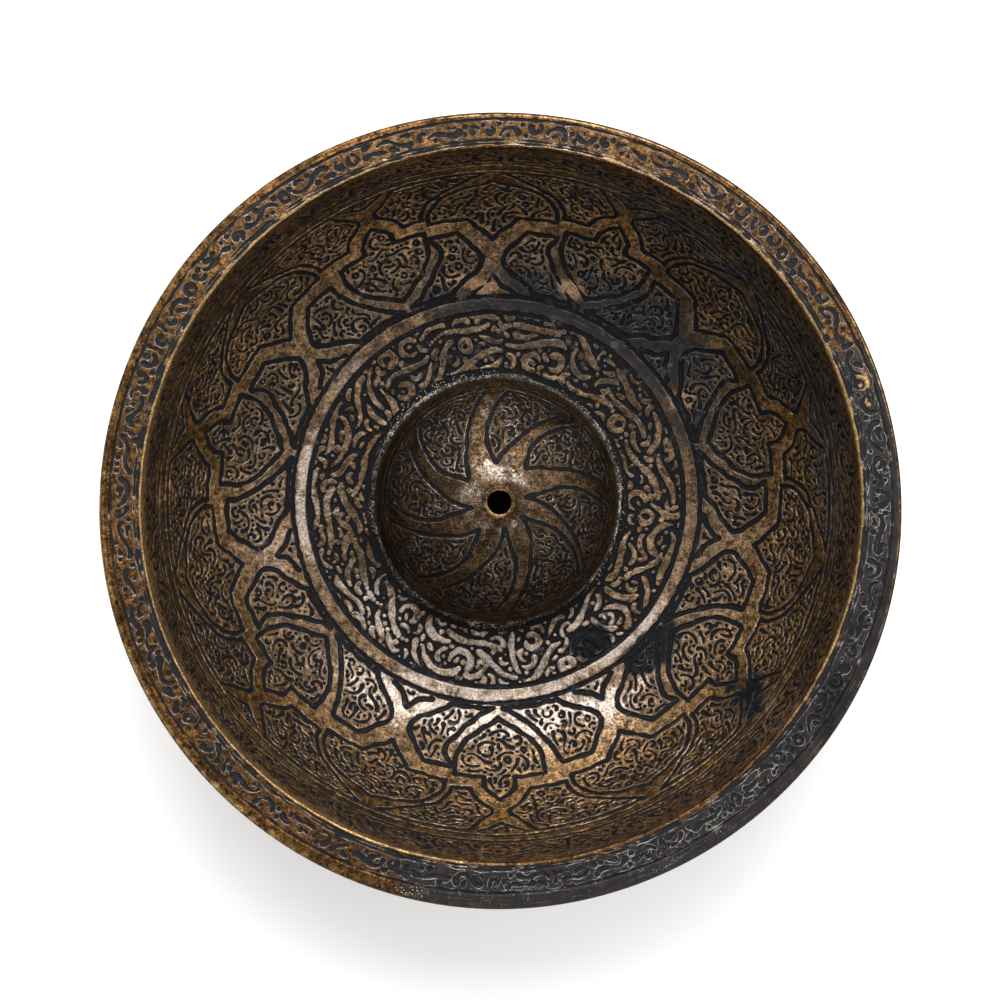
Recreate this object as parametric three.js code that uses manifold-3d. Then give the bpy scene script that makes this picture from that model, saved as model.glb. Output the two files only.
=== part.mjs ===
// Cast brass bowl with a flat turned-out rim and a hollow boss soldered to the middle of its floor.
// Millimetres, +Z up. The origin is the centre of the flat base, on the table.

import * as THREE from "three";
import Module from "manifold-3d";
import * as BufferGeometryUtils from "three/addons/utils/BufferGeometryUtils.js";

// Driving dimensions of the bowl body
const rimRadius = 98.2;
const lipRadius = 87.6;
const bowlHeight = 52;
const floorThickness = 2.2;
const wallThickness = 1.8;
const rimThickness = 1.9;
const rimDrop = 0.9;
const rimShiftX = -0.15;
const rimShiftY = -1.45;
const lipRound = 0.7;
const lipLean = 0.3;
const underRimFillet = 2.4;

// Driving dimensions of the boss and of what fastens it
const bossRadius = 30.8;
const bossHeight = 26;
const bossWall = 1.5;
const bossFootHeight = 1.6;
const solderWidth = 2.3;
const solderHeight = 1.7;
const floorBandWidth = 12.6;
const fitGap = 0.3;

// Driving dimensions of the eyelet that lines the hole in the crown of the boss
const eyeletBore = 5.8;
const eyeletWall = 0.45;
const eyeletFlangeWidth = 0.7;
const eyeletFlangeThickness = 0.35;

// Turned and engraved lines
const lineWidth = 0.9;
const lineDepth = 0.3;
const ringLineInset = 1.9;
const ringLineSpacing = 4.1;
const wallLineDrop = 3.1;
const wallLineSpacing = 1.2;
const rimLineInset = 2;
const rimLineMargin = 3.3;

// Spiral straps of the boss
const strapCount = 8;
const strapPhase = THREE.MathUtils.degToRad(17);
const strapAngle = THREE.MathUtils.degToRad(17);
const strapLead = THREE.MathUtils.degToRad(60);
const strapSweep = THREE.MathUtils.degToRad(26);
const strapMiddleShare = 0.49;
const strapStraightShare = 0.33;
const strapInset = 3.6;

// Interlace of the wall: a V groove along the outline of each compartment, cut from clear of the surface.
// The middle lines of the seven medallions and of the seven shields between them are set out by eye, so
// they aren't quite even
const laceWidth = 1.1;
const laceDepth = 0.5;
const laceClearance = 0.6;
const medallionAngles = [40.5, 91, 142, 194, 246.5, 298, 350];
const shieldAngles = [15, 66, 115, 167, 219, 270.5, 323];

// Half outlines of the compartments. Each point is degrees away from a middle line, and how far it lies
// from the line round the floor to the line round the wall. The first kind is drawn on both sides of its
// own line and closed there; the second lies between a medallion's line and the next shield's
const medallion = [[0, 0.91], [9, 0.825], [13, 0.7], [13, 0.63], [5, 0.615], [0, 0.455]];
const shield = [[0, 0.745], [3.2, 0.645], [3.2, 0.575], [9.5, 0.57], [9.5, 0.42], [6.5, 0.26], [0, 0.12]];
const upperDart = [[0, 0.915], [4, 0.97]];
const lowerDart = [[0, 0.17], [5.6, 0.04]];
const lowerLeaf = {
  byMedallion: [[11.2, 0.04], [4, 0.2], [2.5, 0.305], [7.5, 0.515], [14, 0.515]],
  byShield: [[12, 0.38], [8.5, 0.2], [1.2, 0.04]],
};
const upperLeaf = {
  byMedallion: [[14.3, 0.67], [13.5, 0.76], [8, 0.87], [1.6, 0.97]],
  byShield: [[6, 0.97], [1.7, 0.83], [6, 0.67]],
};

// Fineness of the round shapes
const turnSegments = 44;
const smallTurnSegments = 28;
const arcSteps = 7;
const outerArcSteps = 6;
const filletSteps = 2;
const domeSteps = 10;
const innerDomeSteps = 5;
const leafColumns = 2;
const laceStep = 14;
const mitreLimit = 2.2;
const strapLineShare = 0.2;

// How close two corners lie to count as one, and how far the surface may move where facets are joined
const weldDistance = 1e-4;
const mergeTolerance = 0.02;

// Sizes that follow from the driving dimensions
const floorLevel = floorThickness;
const floorRadius = bossRadius + solderWidth + floorBandWidth;
const mouthRadius = lipRadius - lipLean;
const rimUnderside = bowlHeight - rimThickness;
const rimBorderRadius = rimRadius - rimLineMargin;
const wallTop = rimUnderside - underRimFillet;
const arcTop = rimUnderside - lipLean;
const arcReach = mouthRadius - floorRadius;
const arcHeight = arcTop - floorLevel;
const crownLevel = floorLevel + bossHeight;
const holeRadius = eyeletBore / 2 + eyeletWall + fitGap;
const flangeRadius = holeRadius + eyeletFlangeWidth;
const seatRadius = flangeRadius + fitGap;
const ringLineRadius = floorRadius + ringLineInset;
const laceInnerRadius = ringLineRadius + ringLineSpacing;
const wallLineRadius = mouthRadius - wallLineDrop;
const laceOuterRadius = wallLineRadius - wallLineSpacing;

const wasm = await Module();
wasm.setup();

const brass = { color: 0x8a6a3a, roughness: 0.42, metalness: 1 };
const darkBrass = { color: 0x5f4a2e, roughness: 0.48, metalness: 1 };
const solder = { color: 0x8d8a80, roughness: 0.7, metalness: 0.8 };
const brightBrass = { color: 0xb08a4a, roughness: 0.35, metalness: 1 };

// A named piece with its own material
function piece(name, geometry, finish) {
  const mesh = new THREE.Mesh(geometry, new THREE.MeshStandardMaterial(finish));
  mesh.name = name;
  return mesh;
}

// A profile of [radius, height] pairs turned once about the Z axis
function turned(profile, segments = turnSegments) {
  const points = profile.map(([radius, height]) => new THREE.Vector2(radius, height));
  return new THREE.LatheGeometry(points, segments).rotateX(Math.PI / 2);
}

// Points on a quarter of an ellipse about a centre, from one angle to another
function ellipseArc(centre, reach, height, from, to, steps) {
  const points = [];
  for (let step = 0; step <= steps; step += 1) {
    const angle = THREE.MathUtils.lerp(from, to, step / steps);
    points.push([centre[0] + reach * Math.cos(angle), centre[1] + height * Math.sin(angle)]);
  }
  return points;
}

// The inner surface of the bowl at an angle of its quarter ellipse, 0 at the floor and a right angle at
// the mouth, sunk into the metal by a depth along its normal
function innerPoint(angle, depth) {
  const run = arcReach * Math.cos(angle);
  const rise = arcHeight * Math.sin(angle);
  const speed = Math.hypot(run, rise);
  const radius = floorRadius + arcReach * Math.sin(angle);
  const height = floorLevel + arcHeight * (1 - Math.cos(angle));
  return [radius + (depth * rise) / speed, height - (depth * run) / speed];
}

// The angle of the quarter ellipse where the inner surface has a radius
function innerAngle(radius) {
  return Math.asin((radius - floorRadius) / arcReach);
}

// The stations of the inner surface from the mouth down to the floor, with a V line cut at each radius
function innerStations(lineRadii) {
  const lines = lineRadii.map((radius) => {
    const angle = innerAngle(radius);
    const speed = Math.hypot(arcReach * Math.cos(angle), arcHeight * Math.sin(angle));
    return { angle, half: lineWidth / 2 / speed };
  });
  const stations = [];
  for (let step = 0; step <= arcSteps; step += 1) {
    const angle = (Math.PI / 2) * (1 - step / arcSteps);
    if (lines.every((line) => Math.abs(line.angle - angle) > 2 * line.half)) {
      stations.push({ angle, depth: 0 });
    }
  }
  for (const line of lines) {
    stations.push({ angle: line.angle + line.half, depth: 0 });
    stations.push({ angle: line.angle, depth: lineDepth });
    stations.push({ angle: line.angle - line.half, depth: 0 });
  }
  return stations.sort((a, b) => b.angle - a.angle);
}

// The outside of the bowl from the edge of the flat base up to the fillet under the rim: the inner curve
// set out by a thickness that goes from the floor's to the wall's
function outerWall() {
  const topAngle = Math.acos(1 - (wallTop - floorLevel) / arcHeight);
  const points = [];
  for (let step = 0; step <= outerArcSteps; step += 1) {
    const angle = topAngle * (step / outerArcSteps);
    const thickness = THREE.MathUtils.lerp(floorThickness, wallThickness, Math.sin(angle) ** 2);
    points.push(innerPoint(angle, thickness));
  }
  return points;
}

// Height of the top of the rim at a radius
function rimTop(radius) {
  return bowlHeight - (rimDrop * (radius - lipRadius)) / (rimRadius - lipRadius);
}

// A V line cut into the top of the rim, from its outer side to its inner side
function rimLine(radius) {
  return [
    [radius + lineWidth / 2, rimTop(radius + lineWidth / 2)],
    [radius, rimTop(radius) - lineDepth],
    [radius - lineWidth / 2, rimTop(radius - lineWidth / 2)],
  ];
}

// The rim from its underside, round the outer edge, over the top to the lip
function rimProfile() {
  const wallRadius = mouthRadius + wallThickness;
  const edgeRadius = rimThickness / 2;
  const edgeCentre = [rimRadius - edgeRadius, rimTop(rimRadius) - edgeRadius];
  const filletCentre = [wallRadius + underRimFillet, wallTop];
  const fillet = ellipseArc(filletCentre, underRimFillet, underRimFillet, Math.PI, Math.PI / 2, filletSteps);
  const edge = ellipseArc(edgeCentre, edgeRadius, edgeRadius, -Math.PI / 2, Math.PI / 2, 2 * filletSteps);
  const lipCentre = [lipRadius + lipRound, bowlHeight - lipRound];
  const lip = ellipseArc(lipCentre, lipRound, lipRound, Math.PI / 2, Math.PI, filletSteps);
  return [
    ...fillet.slice(1),
    ...edge,
    ...rimLine(rimBorderRadius),
    ...rimLine(lipRadius + rimLineInset),
    ...lip,
  ];
}

// The rim was trimmed slightly off the bowl's axis, so its margin is wider on one side: every point beyond
// the outer border line moves in proportion to its distance from the line
function shiftRim(geometry) {
  const position = geometry.getAttribute("position");
  const start = rimBorderRadius + lineWidth / 2;
  for (let index = 0; index < position.count; index += 1) {
    const x = position.getX(index);
    const y = position.getY(index);
    const share = (Math.hypot(x, y) - start) / (rimRadius - start);
    if (share > 0) {
      position.setX(index, x + rimShiftX * share);
      position.setY(index, y + rimShiftY * share);
    }
  }
  geometry.computeVertexNormals();
  return geometry;
}

// A point of the interlace: its angle round the bowl in degrees and its radius on the inner surface
function lacePoint(middle, away, share) {
  return [middle + away, THREE.MathUtils.lerp(laceInnerRadius, laceOuterRadius, share)];
}

// The outline of a compartment that stands astride its own middle line
function astride(half, middle) {
  const there = half.map(([away, share]) => lacePoint(middle, away, share));
  const back = half.filter(([away]) => away > 0).map(([away, share]) => lacePoint(middle, -away, share));
  return [...there, ...back.reverse()];
}

// The outline of a compartment between a medallion's middle line and a shield's, on either side
function between({ byMedallion, byShield }, medallionLine, shieldLine) {
  const side = Math.sign(shieldLine - medallionLine);
  return [
    ...byMedallion.map(([away, share]) => lacePoint(medallionLine, side * away, share)),
    ...byShield.map(([away, share]) => lacePoint(shieldLine, -side * away, share)),
  ];
}

// The outlines of all the compartments of the interlace
function laceOutlines() {
  const outlines = [];
  medallionAngles.forEach((line, index) => {
    const before = shieldAngles[index];
    const next = shieldAngles[(index + 1) % shieldAngles.length];
    const after = next > line ? next : next + 360;
    outlines.push(astride(medallion, line), astride(lowerDart, line));
    outlines.push(astride(shield, before), astride(upperDart, before));
    for (const shieldLine of [before, after]) {
      outlines.push(between(lowerLeaf, line, shieldLine), between(upperLeaf, line, shieldLine));
    }
  });
  return outlines;
}

// A closed outline with points added wherever two of them are more than a step apart
function evenedOutline(outline) {
  return outline.flatMap(([angle, radius], index) => {
    const [nextAngle, nextRadius] = outline[(index + 1) % outline.length];
    const run = THREE.MathUtils.degToRad(nextAngle - angle) * radius;
    const pieces = Math.ceil(Math.hypot(run, nextRadius - radius) / laceStep);
    return Array.from({ length: pieces }, (_, step) => [
      THREE.MathUtils.lerp(angle, nextAngle, step / pieces),
      THREE.MathUtils.lerp(radius, nextRadius, step / pieces),
    ]);
  });
}

// The place on the inner surface at an angle in degrees and a radius, at a depth in the metal
function wallPlace(angle, radius, depth) {
  const turn = THREE.MathUtils.degToRad(angle);
  const [reach, height] = innerPoint(innerAngle(radius), depth);
  return new THREE.Vector3(reach * Math.cos(turn), reach * Math.sin(turn), height);
}

// The cutter of one groove: a closed bar with a V section, mitred at each point of the outline, whose
// sharp edge lies in the metal and whose flat top is clear of the surface
function grooveCutter(outline) {
  const points = evenedOutline(outline);
  const places = points.map(([angle, radius]) => wallPlace(angle, radius, 0));
  const topHalf = ((laceWidth / 2) * (laceDepth + laceClearance)) / laceDepth;
  const edges = places.map((place, index) => {
    const ahead = places[(index + 1) % places.length].clone().sub(place).normalize();
    const behind = place.clone().sub(places.at(index - 1)).normalize();
    const bottom = wallPlace(...points[index], laceDepth);
    const outward = place.clone().sub(bottom).normalize();
    const along = ahead.clone().add(behind).normalize();
    const mitre = Math.min(1 / Math.max(along.dot(ahead), 1 / mitreLimit), mitreLimit);
    const side = new THREE.Vector3().crossVectors(outward, along).setLength(topHalf * mitre);
    const top = place.clone().addScaledVector(outward, laceClearance);
    return [bottom, top.clone().add(side), top.clone().sub(side)].map((point) => point.toArray());
  });
  return ringedSurface(edges);
}

// A geometry as a solid that can be cut
function cutSolid(geometry) {
  const bare = new THREE.BufferGeometry();
  bare.setAttribute("position", geometry.getAttribute("position"));
  bare.setIndex(geometry.getIndex());
  const merged = BufferGeometryUtils.mergeVertices(bare, weldDistance);
  const corners = Array.from(merged.getIndex().array);
  const triangles = [];
  for (let start = 0; start < corners.length; start += 3) {
    const triangle = corners.slice(start, start + 3);
    if (new Set(triangle).size === 3) {
      triangles.push(...triangle);
    }
  }
  return new wasm.Manifold(new wasm.Mesh({
    numProp: 3,
    vertProperties: new Float32Array(merged.getAttribute("position").array),
    triVerts: new Uint32Array(triangles),
  }));
}

// The bowl body: flat base, rounded wall, turned-out rim, the lines that border its bands, and the
// interlace of the wall
function bowlBody() {
  const lines = [ringLineRadius, laceInnerRadius, laceOuterRadius, wallLineRadius];
  const inside = innerStations(lines).map(({ angle, depth }) => innerPoint(angle, depth));
  const profile = [[0, 0], ...outerWall(), ...rimProfile(), ...inside, [0, floorLevel]];
  let body = cutSolid(shiftRim(turned(profile)));
  for (const outline of laceOutlines()) {
    body = body.subtract(cutSolid(grooveCutter(outline)));
  }
  const mesh = body.simplify(mergeTolerance).getMesh();
  const geometry = new THREE.BufferGeometry();
  geometry.setAttribute("position", new THREE.BufferAttribute(mesh.vertProperties, 3));
  geometry.setIndex(new THREE.BufferAttribute(mesh.triVerts, 1));
  geometry.computeVertexNormals();
  return geometry;
}

// A closed surface on a grid: each row is a ring of points, and the last row joins the first
function ringedSurface(rows) {
  const columns = rows[0].length;
  const positions = rows.flat(2);
  const indices = [];
  rows.forEach((row, rowIndex) => {
    const nextRow = (rowIndex + 1) % rows.length;
    for (let column = 0; column < columns; column += 1) {
      const nextColumn = (column + 1) % columns;
      const a = rowIndex * columns + column;
      const b = rowIndex * columns + nextColumn;
      const c = nextRow * columns + nextColumn;
      const d = nextRow * columns + column;
      indices.push(a, b, c, a, c, d);
    }
  });
  const geometry = new THREE.BufferGeometry();
  geometry.setAttribute("position", new THREE.Float32BufferAttribute(positions, 3));
  geometry.setIndex(indices);
  geometry.computeVertexNormals();
  return geometry;
}

// The angles of a strap's two edges at a radius. The trailing edge leaves the crown straight and sweeps
// back in a square law, and the leading edge turns back evenly, so the strap narrows outwards
function strapEdges(radius) {
  const share = radius / bossRadius;
  const swept = Math.max(0, (share - strapStraightShare) / (1 - strapStraightShare));
  return {
    trailing: strapPhase - strapSweep * swept ** 2,
    leading: strapPhase + strapAngle - strapLead * (share - strapMiddleShare),
  };
}

// The columns of the boss at a radius: for each strap its two engraved edges with their V, its middle,
// and evenly spaced columns across the leaf that follows it. Half a line takes at most a share of a strap
// or a leaf
function strapColumns(radius) {
  const pitch = (2 * Math.PI) / strapCount;
  const { trailing, leading } = strapEdges(radius);
  const narrower = Math.min(leading - trailing, pitch - leading + trailing);
  const half = Math.min(lineWidth / 2 / radius, strapLineShare * narrower);
  const columns = [];
  for (let strap = 0; strap < strapCount; strap += 1) {
    const start = trailing + strap * pitch;
    const end = leading + strap * pitch;
    columns.push({ angle: start - half, sunk: false }, { angle: start, sunk: true });
    columns.push({ angle: start + half, sunk: false }, { angle: (start + end) / 2, sunk: false });
    columns.push({ angle: end - half, sunk: false }, { angle: end, sunk: true });
    columns.push({ angle: end + half, sunk: false });
    const leafStart = end + half;
    const leafAngle = start + pitch - end - 2 * half;
    for (let column = 1; column <= leafColumns; column += 1) {
      columns.push({ angle: leafStart + (leafAngle * column) / (leafColumns + 1), sunk: false });
    }
  }
  return columns;
}

// One ring of the boss at a radius and height, its strap edges sunk by a depth along the dome's normal
function bossRing(radius, height, depth, tilt) {
  return strapColumns(radius).map(({ angle, sunk }) => {
    const cut = sunk ? depth : 0;
    const reach = radius - cut * Math.cos(tilt);
    return [reach * Math.cos(angle), reach * Math.sin(angle), height - cut * Math.sin(tilt)];
  });
}

// The boss: a hollow dome on a short upright foot, with a flat seat and a hole at its crown. Eight straps
// spiral from the crown to the foot between engraved lines
function bossDome() {
  const footTop = floorLevel + bossFootHeight;
  const domeHeight = crownLevel - footTop;
  const innerRadius = bossRadius - bossWall;
  const innerHeight = domeHeight - bossWall;
  const rows = [bossRing(bossRadius, floorLevel, 0, 0)];
  const seatAngle = Math.acos(seatRadius / bossRadius);
  for (let step = 0; step < domeSteps; step += 1) {
    const tilt = (seatAngle * step) / domeSteps;
    const radius = bossRadius * Math.cos(tilt);
    const room = Math.min(radius - seatRadius, bossRadius - radius);
    const depth = lineDepth * THREE.MathUtils.clamp(room / strapInset, 0, 1);
    rows.push(bossRing(radius, footTop + domeHeight * Math.sin(tilt), depth, tilt));
  }
  rows.push(bossRing(seatRadius, crownLevel, 0, 0));
  rows.push(bossRing(holeRadius, crownLevel, 0, 0));
  rows.push(bossRing(holeRadius, crownLevel - bossWall, 0, 0));
  rows.push(bossRing(seatRadius, crownLevel - bossWall, 0, 0));
  const innerSeatAngle = Math.acos(seatRadius / innerRadius);
  for (let step = innerDomeSteps - 1; step >= 0; step -= 1) {
    const tilt = (innerSeatAngle * step) / innerDomeSteps;
    rows.push(bossRing(innerRadius * Math.cos(tilt), footTop + innerHeight * Math.sin(tilt), 0, 0));
  }
  rows.push(bossRing(innerRadius, floorLevel, 0, 0));
  return ringedSurface(rows);
}

// The bead of solder that runs round the foot of the boss in the corner with the floor
function solderSeam() {
  const inside = bossRadius + fitGap;
  const outside = bossRadius + solderWidth;
  const hollow = ellipseArc(
    [outside, floorLevel + solderHeight],
    outside - inside,
    solderHeight,
    (3 * Math.PI) / 2,
    Math.PI,
    filletSteps,
  );
  return turned([[inside, floorLevel], ...hollow, [inside, floorLevel]]);
}

// The eyelet: a short tube through the crown of the boss, turned over above it and spread below it
function holeEyelet() {
  const bore = eyeletBore / 2;
  const tube = bore + eyeletWall;
  const top = crownLevel + eyeletFlangeThickness;
  const under = crownLevel - bossWall;
  const bottom = under - eyeletFlangeThickness;
  return turned([
    [bore, bottom],
    [flangeRadius, bottom],
    [flangeRadius, under],
    [tube, under],
    [tube, crownLevel],
    [flangeRadius, crownLevel],
    [flangeRadius - eyeletFlangeThickness / 2, top],
    [bore + eyeletFlangeThickness / 2, top],
    [bore, crownLevel],
    [bore, bottom],
  ], smallTurnSegments);
}

const bowl = new THREE.Group();
bowl.add(piece("bowl_body", bowlBody(), brass));
bowl.add(piece("boss_dome", bossDome(), darkBrass));
bowl.add(piece("boss_solder_seam", solderSeam(), solder));
bowl.add(piece("hole_eyelet", holeEyelet(), brightBrass));

export default bowl;
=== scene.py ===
"""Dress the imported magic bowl: engraved brass with a blackened ground, on a pale floor."""
import math
from functools import partial, reduce
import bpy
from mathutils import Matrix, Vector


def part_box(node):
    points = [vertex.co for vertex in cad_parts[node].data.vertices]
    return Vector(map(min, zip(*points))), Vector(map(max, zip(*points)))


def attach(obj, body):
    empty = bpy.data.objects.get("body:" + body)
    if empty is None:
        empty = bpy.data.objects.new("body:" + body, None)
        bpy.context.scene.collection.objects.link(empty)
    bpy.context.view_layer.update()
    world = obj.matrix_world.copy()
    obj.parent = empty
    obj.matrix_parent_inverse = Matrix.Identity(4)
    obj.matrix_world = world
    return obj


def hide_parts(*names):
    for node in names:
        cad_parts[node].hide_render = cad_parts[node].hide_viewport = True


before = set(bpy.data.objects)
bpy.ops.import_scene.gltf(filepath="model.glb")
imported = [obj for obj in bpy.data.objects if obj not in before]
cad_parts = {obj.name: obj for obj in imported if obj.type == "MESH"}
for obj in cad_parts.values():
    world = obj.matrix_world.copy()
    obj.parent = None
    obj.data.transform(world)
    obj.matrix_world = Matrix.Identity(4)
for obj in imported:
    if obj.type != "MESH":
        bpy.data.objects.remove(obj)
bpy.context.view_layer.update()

from types import SimpleNamespace

import bpy
import numpy as np
from bpy.props import FloatProperty, FloatVectorProperty, IntProperty, PointerProperty
from mathutils import Matrix, Vector

bl_info = {
    "name": "Engraved magic bowl",
    "version": (1, 0, 0),
    "blender": (4, 5, 0),
    "location": "3D View > Sidebar > Magic Bowl",
    "description": "Builds an engraved brass bowl with a domed boss, piece by piece",
    "category": "Add Mesh",
}

# Lengths in this script are millimetres, and put_mesh turns them into metres. Only the properties, the
# lamps and the camera are in metres from the start
MM = 0.001
TURN = 2 * math.pi

# Heights, from the solids of the frame
_, BODY_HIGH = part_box("bowl_body")
BOSS_LOW, BOSS_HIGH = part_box("boss_dome")
_, SEAM_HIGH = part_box("boss_solder_seam")
EYELET_LOW, EYELET_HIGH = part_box("hole_eyelet")
BOWL_HEIGHT = BODY_HIGH[2] / MM
FLOOR_LEVEL = BOSS_LOW[2] / MM
CROWN_LEVEL = BOSS_HIGH[2] / MM
SEAM_TOP = SEAM_HIGH[2] / MM
EYELET_TOP = EYELET_HIGH[2] / MM
EYELET_BOTTOM = EYELET_LOW[2] / MM

# Section of the bowl: its floor and wall, its lip, which leans out and is rounded, and its falling rim,
# and the step between the stations of a section
FLOOR_RADIUS = 45.7
FLOOR_THICKNESS = 2.2
WALL_THICKNESS = 1.8
LIP_LEAN = 0.3
LIP_ROUND = 0.8
RIM_DROP = 0.9
RIM_THICKNESS = 1.9
UNDER_RIM_FILLET = 2.4
WALL_RISE = BOWL_HEIGHT - RIM_THICKNESS - LIP_LEAN - FLOOR_LEVEL
UNDER_RIM = BOWL_HEIGHT - RIM_THICKNESS
OUTSIDE_TOP = UNDER_RIM - UNDER_RIM_FILLET - 1.2
PATH_STEP = 0.05

# Section of the boss: its upright foot, its wall, the flat seat round its hole, the width over which its
# surface evens out towards the hole, its roughness, and the share of the groove depth that it's cut to
BOSS_FOOT = 1.6
BOSS_WALL = 1.5
BOSS_SEAT = 1.2
BOSS_FADE = 2.5
BOSS_ROUGHNESS = 0.014
BOSS_GROOVE = 0.8

# Solder: how far its foot runs out and how much that varies, how far it reaches below the floor, and its
# lumps: scale across and round the bead, and height
SOLDER_WIDTH = 1.15
SOLDER_SWING = 0.25
SOLDER_SINK = 0.1
SOLDER_LUMPS = ((1.0, 1.6, 0.16), (2.4, 9, 0.12))

# Eyelet: how much its bore and its tube are narrower than the hole and its flanges are wider, how far the
# upper flange reaches below the crown's level, and its wobble
EYELET_BORE = 0.75
EYELET_TUBE = 0.3
EYELET_FLANGE = 0.7
EYELET_HANG = 0.25
EYELET_WOBBLE = 0.05

# The mouth's oval, where along the section it starts and over what length it grows, how far the lip is
# off the axis and inside its circle, and the waves of the wall: height, times round, slope and start
OVAL = 0.3
OVAL_ANGLE = math.radians(8.5)
OVAL_START = 70
OVAL_RUN = 40
LIP_SHIFT = (-0.1, -0.28)
LIP_TRIM = 0.2
WALL_WAVES = ((0.030, 5, 0.11, 0.0), (0.025, 9, -0.17, 1.0), (0.018, 14, 0.31, 2.2), (0.010, 23, -0.43, 0.4))

# Thickness of the engraved pieces, the gap behind them, and where the side of a cut starts and how wide
# it is
SKIN = 0.8
BEHIND_SKIN = 0.08
CUT_EDGE = 0.08
CUT_SLOPE = 0.24

# Places of the engraved bands on the bowl, as radii
BAND_START = 29.5
BAND_INNER_LINE = 33.9
BAND_END = 49.6
RING_INNER_LINE = 47.6
RING_OUTER_LINE = 51.7
WALL_LOWER_LINE = 82.98
WALL_UPPER_LINE = 84.24
LACE_END = 83.6
RIM_INNER_LINES = (88.75, 89.45)
RIM_OUTER_LINE = 94.75
RIM_BAND_END = 95.0
SECTION_END = RIM_BAND_END + 0.2

# How far beyond the mouth the frieze ends, the radius of the rim in the solids, how much further out its
# band is drawn than there, and where it is pinched: degrees, half width in degrees and distance
ABOVE_MOUTH = 0.9
CAD_RIM_RADIUS = 98.2
RIM_SPREAD = 0.9
RIM_PINCHES = ((90, 45, 0.9), (290, 35, 0.45))

# Middle lines of the seven medallions and of the seven shields between them, in degrees
MEDALLIONS = (40.5, 91, 142, 194, 246.5, 298, 350)
SHIELDS = (15, 66, 115, 167, 219, 270.5, 323)

# Outlines of the interlace. Each run is a smooth curve through points of line, degrees away from that
# line, and radius: line 0 is the medallion's own middle line, and line 1 is that of the next shield,
# whose degrees count back towards the medallion
MEDALLION = (
    ((0, 0, 80.1), (0, 2.2, 79.35), (0, 5, 78.75), (0, 9.5, 77.15), (0, 12.5, 74.1), (0, 13, 71.5)),
    ((0, 13, 71.5), (0, 5, 71.0)),
    ((0, 5, 71.0), (0, 3.5, 69.3), (0, 1.3, 67.3), (0, 0, 65.9)),
)
SHIELD = (
    ((1, 0, 75.05), (1, 1.9, 73.4), (1, 3.2, 71.97)),
    ((1, 3.2, 71.97), (1, 3.2, 69.8)),
    ((1, 3.2, 69.8), (1, 9.5, 69.57)),
    ((1, 9.5, 69.57), (1, 9.5, 64.95), (1, 7.5, 61.0), (1, 3.5, 57.77), (1, 0, 55.5)),
)
LOWER_LEAF = (
    ((0, 7.5, 67.87), (0, 14, 67.87)),
    ((0, 14, 67.87), (1, 12.4, 64.46), (1, 10.5, 60.76), (1, 7.5, 57.03), (1, 3.5, 53.9), (1, 1.2, 52.9)),
    ((1, 1.2, 52.9), (0, 11.2, 52.9)),
    ((0, 11.2, 52.9), (0, 9, 54.9), (0, 4, 58.27), (0, 2.5, 61.25), (0, 5, 64.95), (0, 7.5, 67.87)),
)
UPPER_LEAF = (
    ((0, 14.3, 72.7), (0, 14, 74.34), (0, 12, 76.92), (0, 8, 78.98), (0, 4, 81.0), (0, 1.6, 82.1)),
    ((0, 1.6, 82.1), (1, 6, 82.1)),
    ((1, 6, 82.1), (1, 4.5, 80.6), (1, 1.7, 78.07)),
    ((1, 1.7, 78.07), (1, 1.7, 77.15)),
    ((1, 1.7, 77.15), (1, 4.5, 75.05), (1, 6, 72.7)),
    ((1, 6, 72.7), (0, 14.3, 72.7)),
)
UPPER_DARTS = (((1, 0, 80.34), (1, 4.0, 82.1)),)
LOWER_DARTS = (((0, 0, 57.03), (0, 2.2, 54.4), (0, 5.6, 52.9)),)

# Half width of an outline at the foot and at the top of the wall, the step between its points, and the
# middle radius that its angles are measured at
OUTLINE_HALF = (0.68, 0.52)
OUTLINE_STEP = 0.3
LACE_MIDDLE = 65

# Spiral straps of the boss: degrees of the trailing edge of each at the middle radius, and its width,
# then the sweep of its edges, radii of the leaves between and of the line below, and half widths of cuts
STRAPS = ((14, 19), (60, 16), (102, 20), (153, 17), (197, 17), (241, 18), (286, 16), (335, 12))
STRAP_MIDDLE = 15.0
STRAP_STRAIGHT = 10.0
STRAP_SWEEP = math.radians(19)
STRAP_SWEEP_RUN = 17.7
STRAP_LEAD = math.radians(1.95)
LEAF_TIPS = (11.0, 10.0, 9.5, 7.2, 8.6, 6.6, 6.6, 6.6)
LEAF_FULL = 15.5
LEAF_END = 27.8
BOSS_LINE = 28.9
LEAF_LINE_HALF = 0.56
LEAF_END_HALF = 0.4
BOSS_LINE_HALF = 0.26

# Outer edge of the rim: its middle radius, and how many times, how far and from what degrees it swells
EDGE_RADIUS = 97.72
EDGE_SWELLS = ((1, 1.45, 264.4), (2, 0.34, -7.5), (3, 0.19, 83), (4, 0.10, 180), (5, 0.15, 243))

# Rows of the rim's margin and of its rounded edge, the margin's shallow groove, which is left out where
# the margin is narrow and whose row gets a painted shadow line, the most of the margin that the rounded
# edge takes, and where the top of the edge is rubbed to gilt with a painted highlight and its outer side
# gets painted shade: degrees, half width in degrees and strength
MARGIN_ROWS = 6
EDGE_ROWS = 10
MARGIN_GROOVE = 0.16
GROOVE_PLACE = 0.75
GROOVE_HALF = 0.16
GROOVE_MARGIN = 1.4
GROOVE_ROW = 3
GROOVE_SHADOW_GAP = 0.35
EDGE_SHARE = 0.8
EDGE_GILT_HIGHLIGHT_AND_SHADE = ((80, 30, 0.65), (28, 26, 0.65), (345, 26, 0.4), (215, 30, 0.3))
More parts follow.
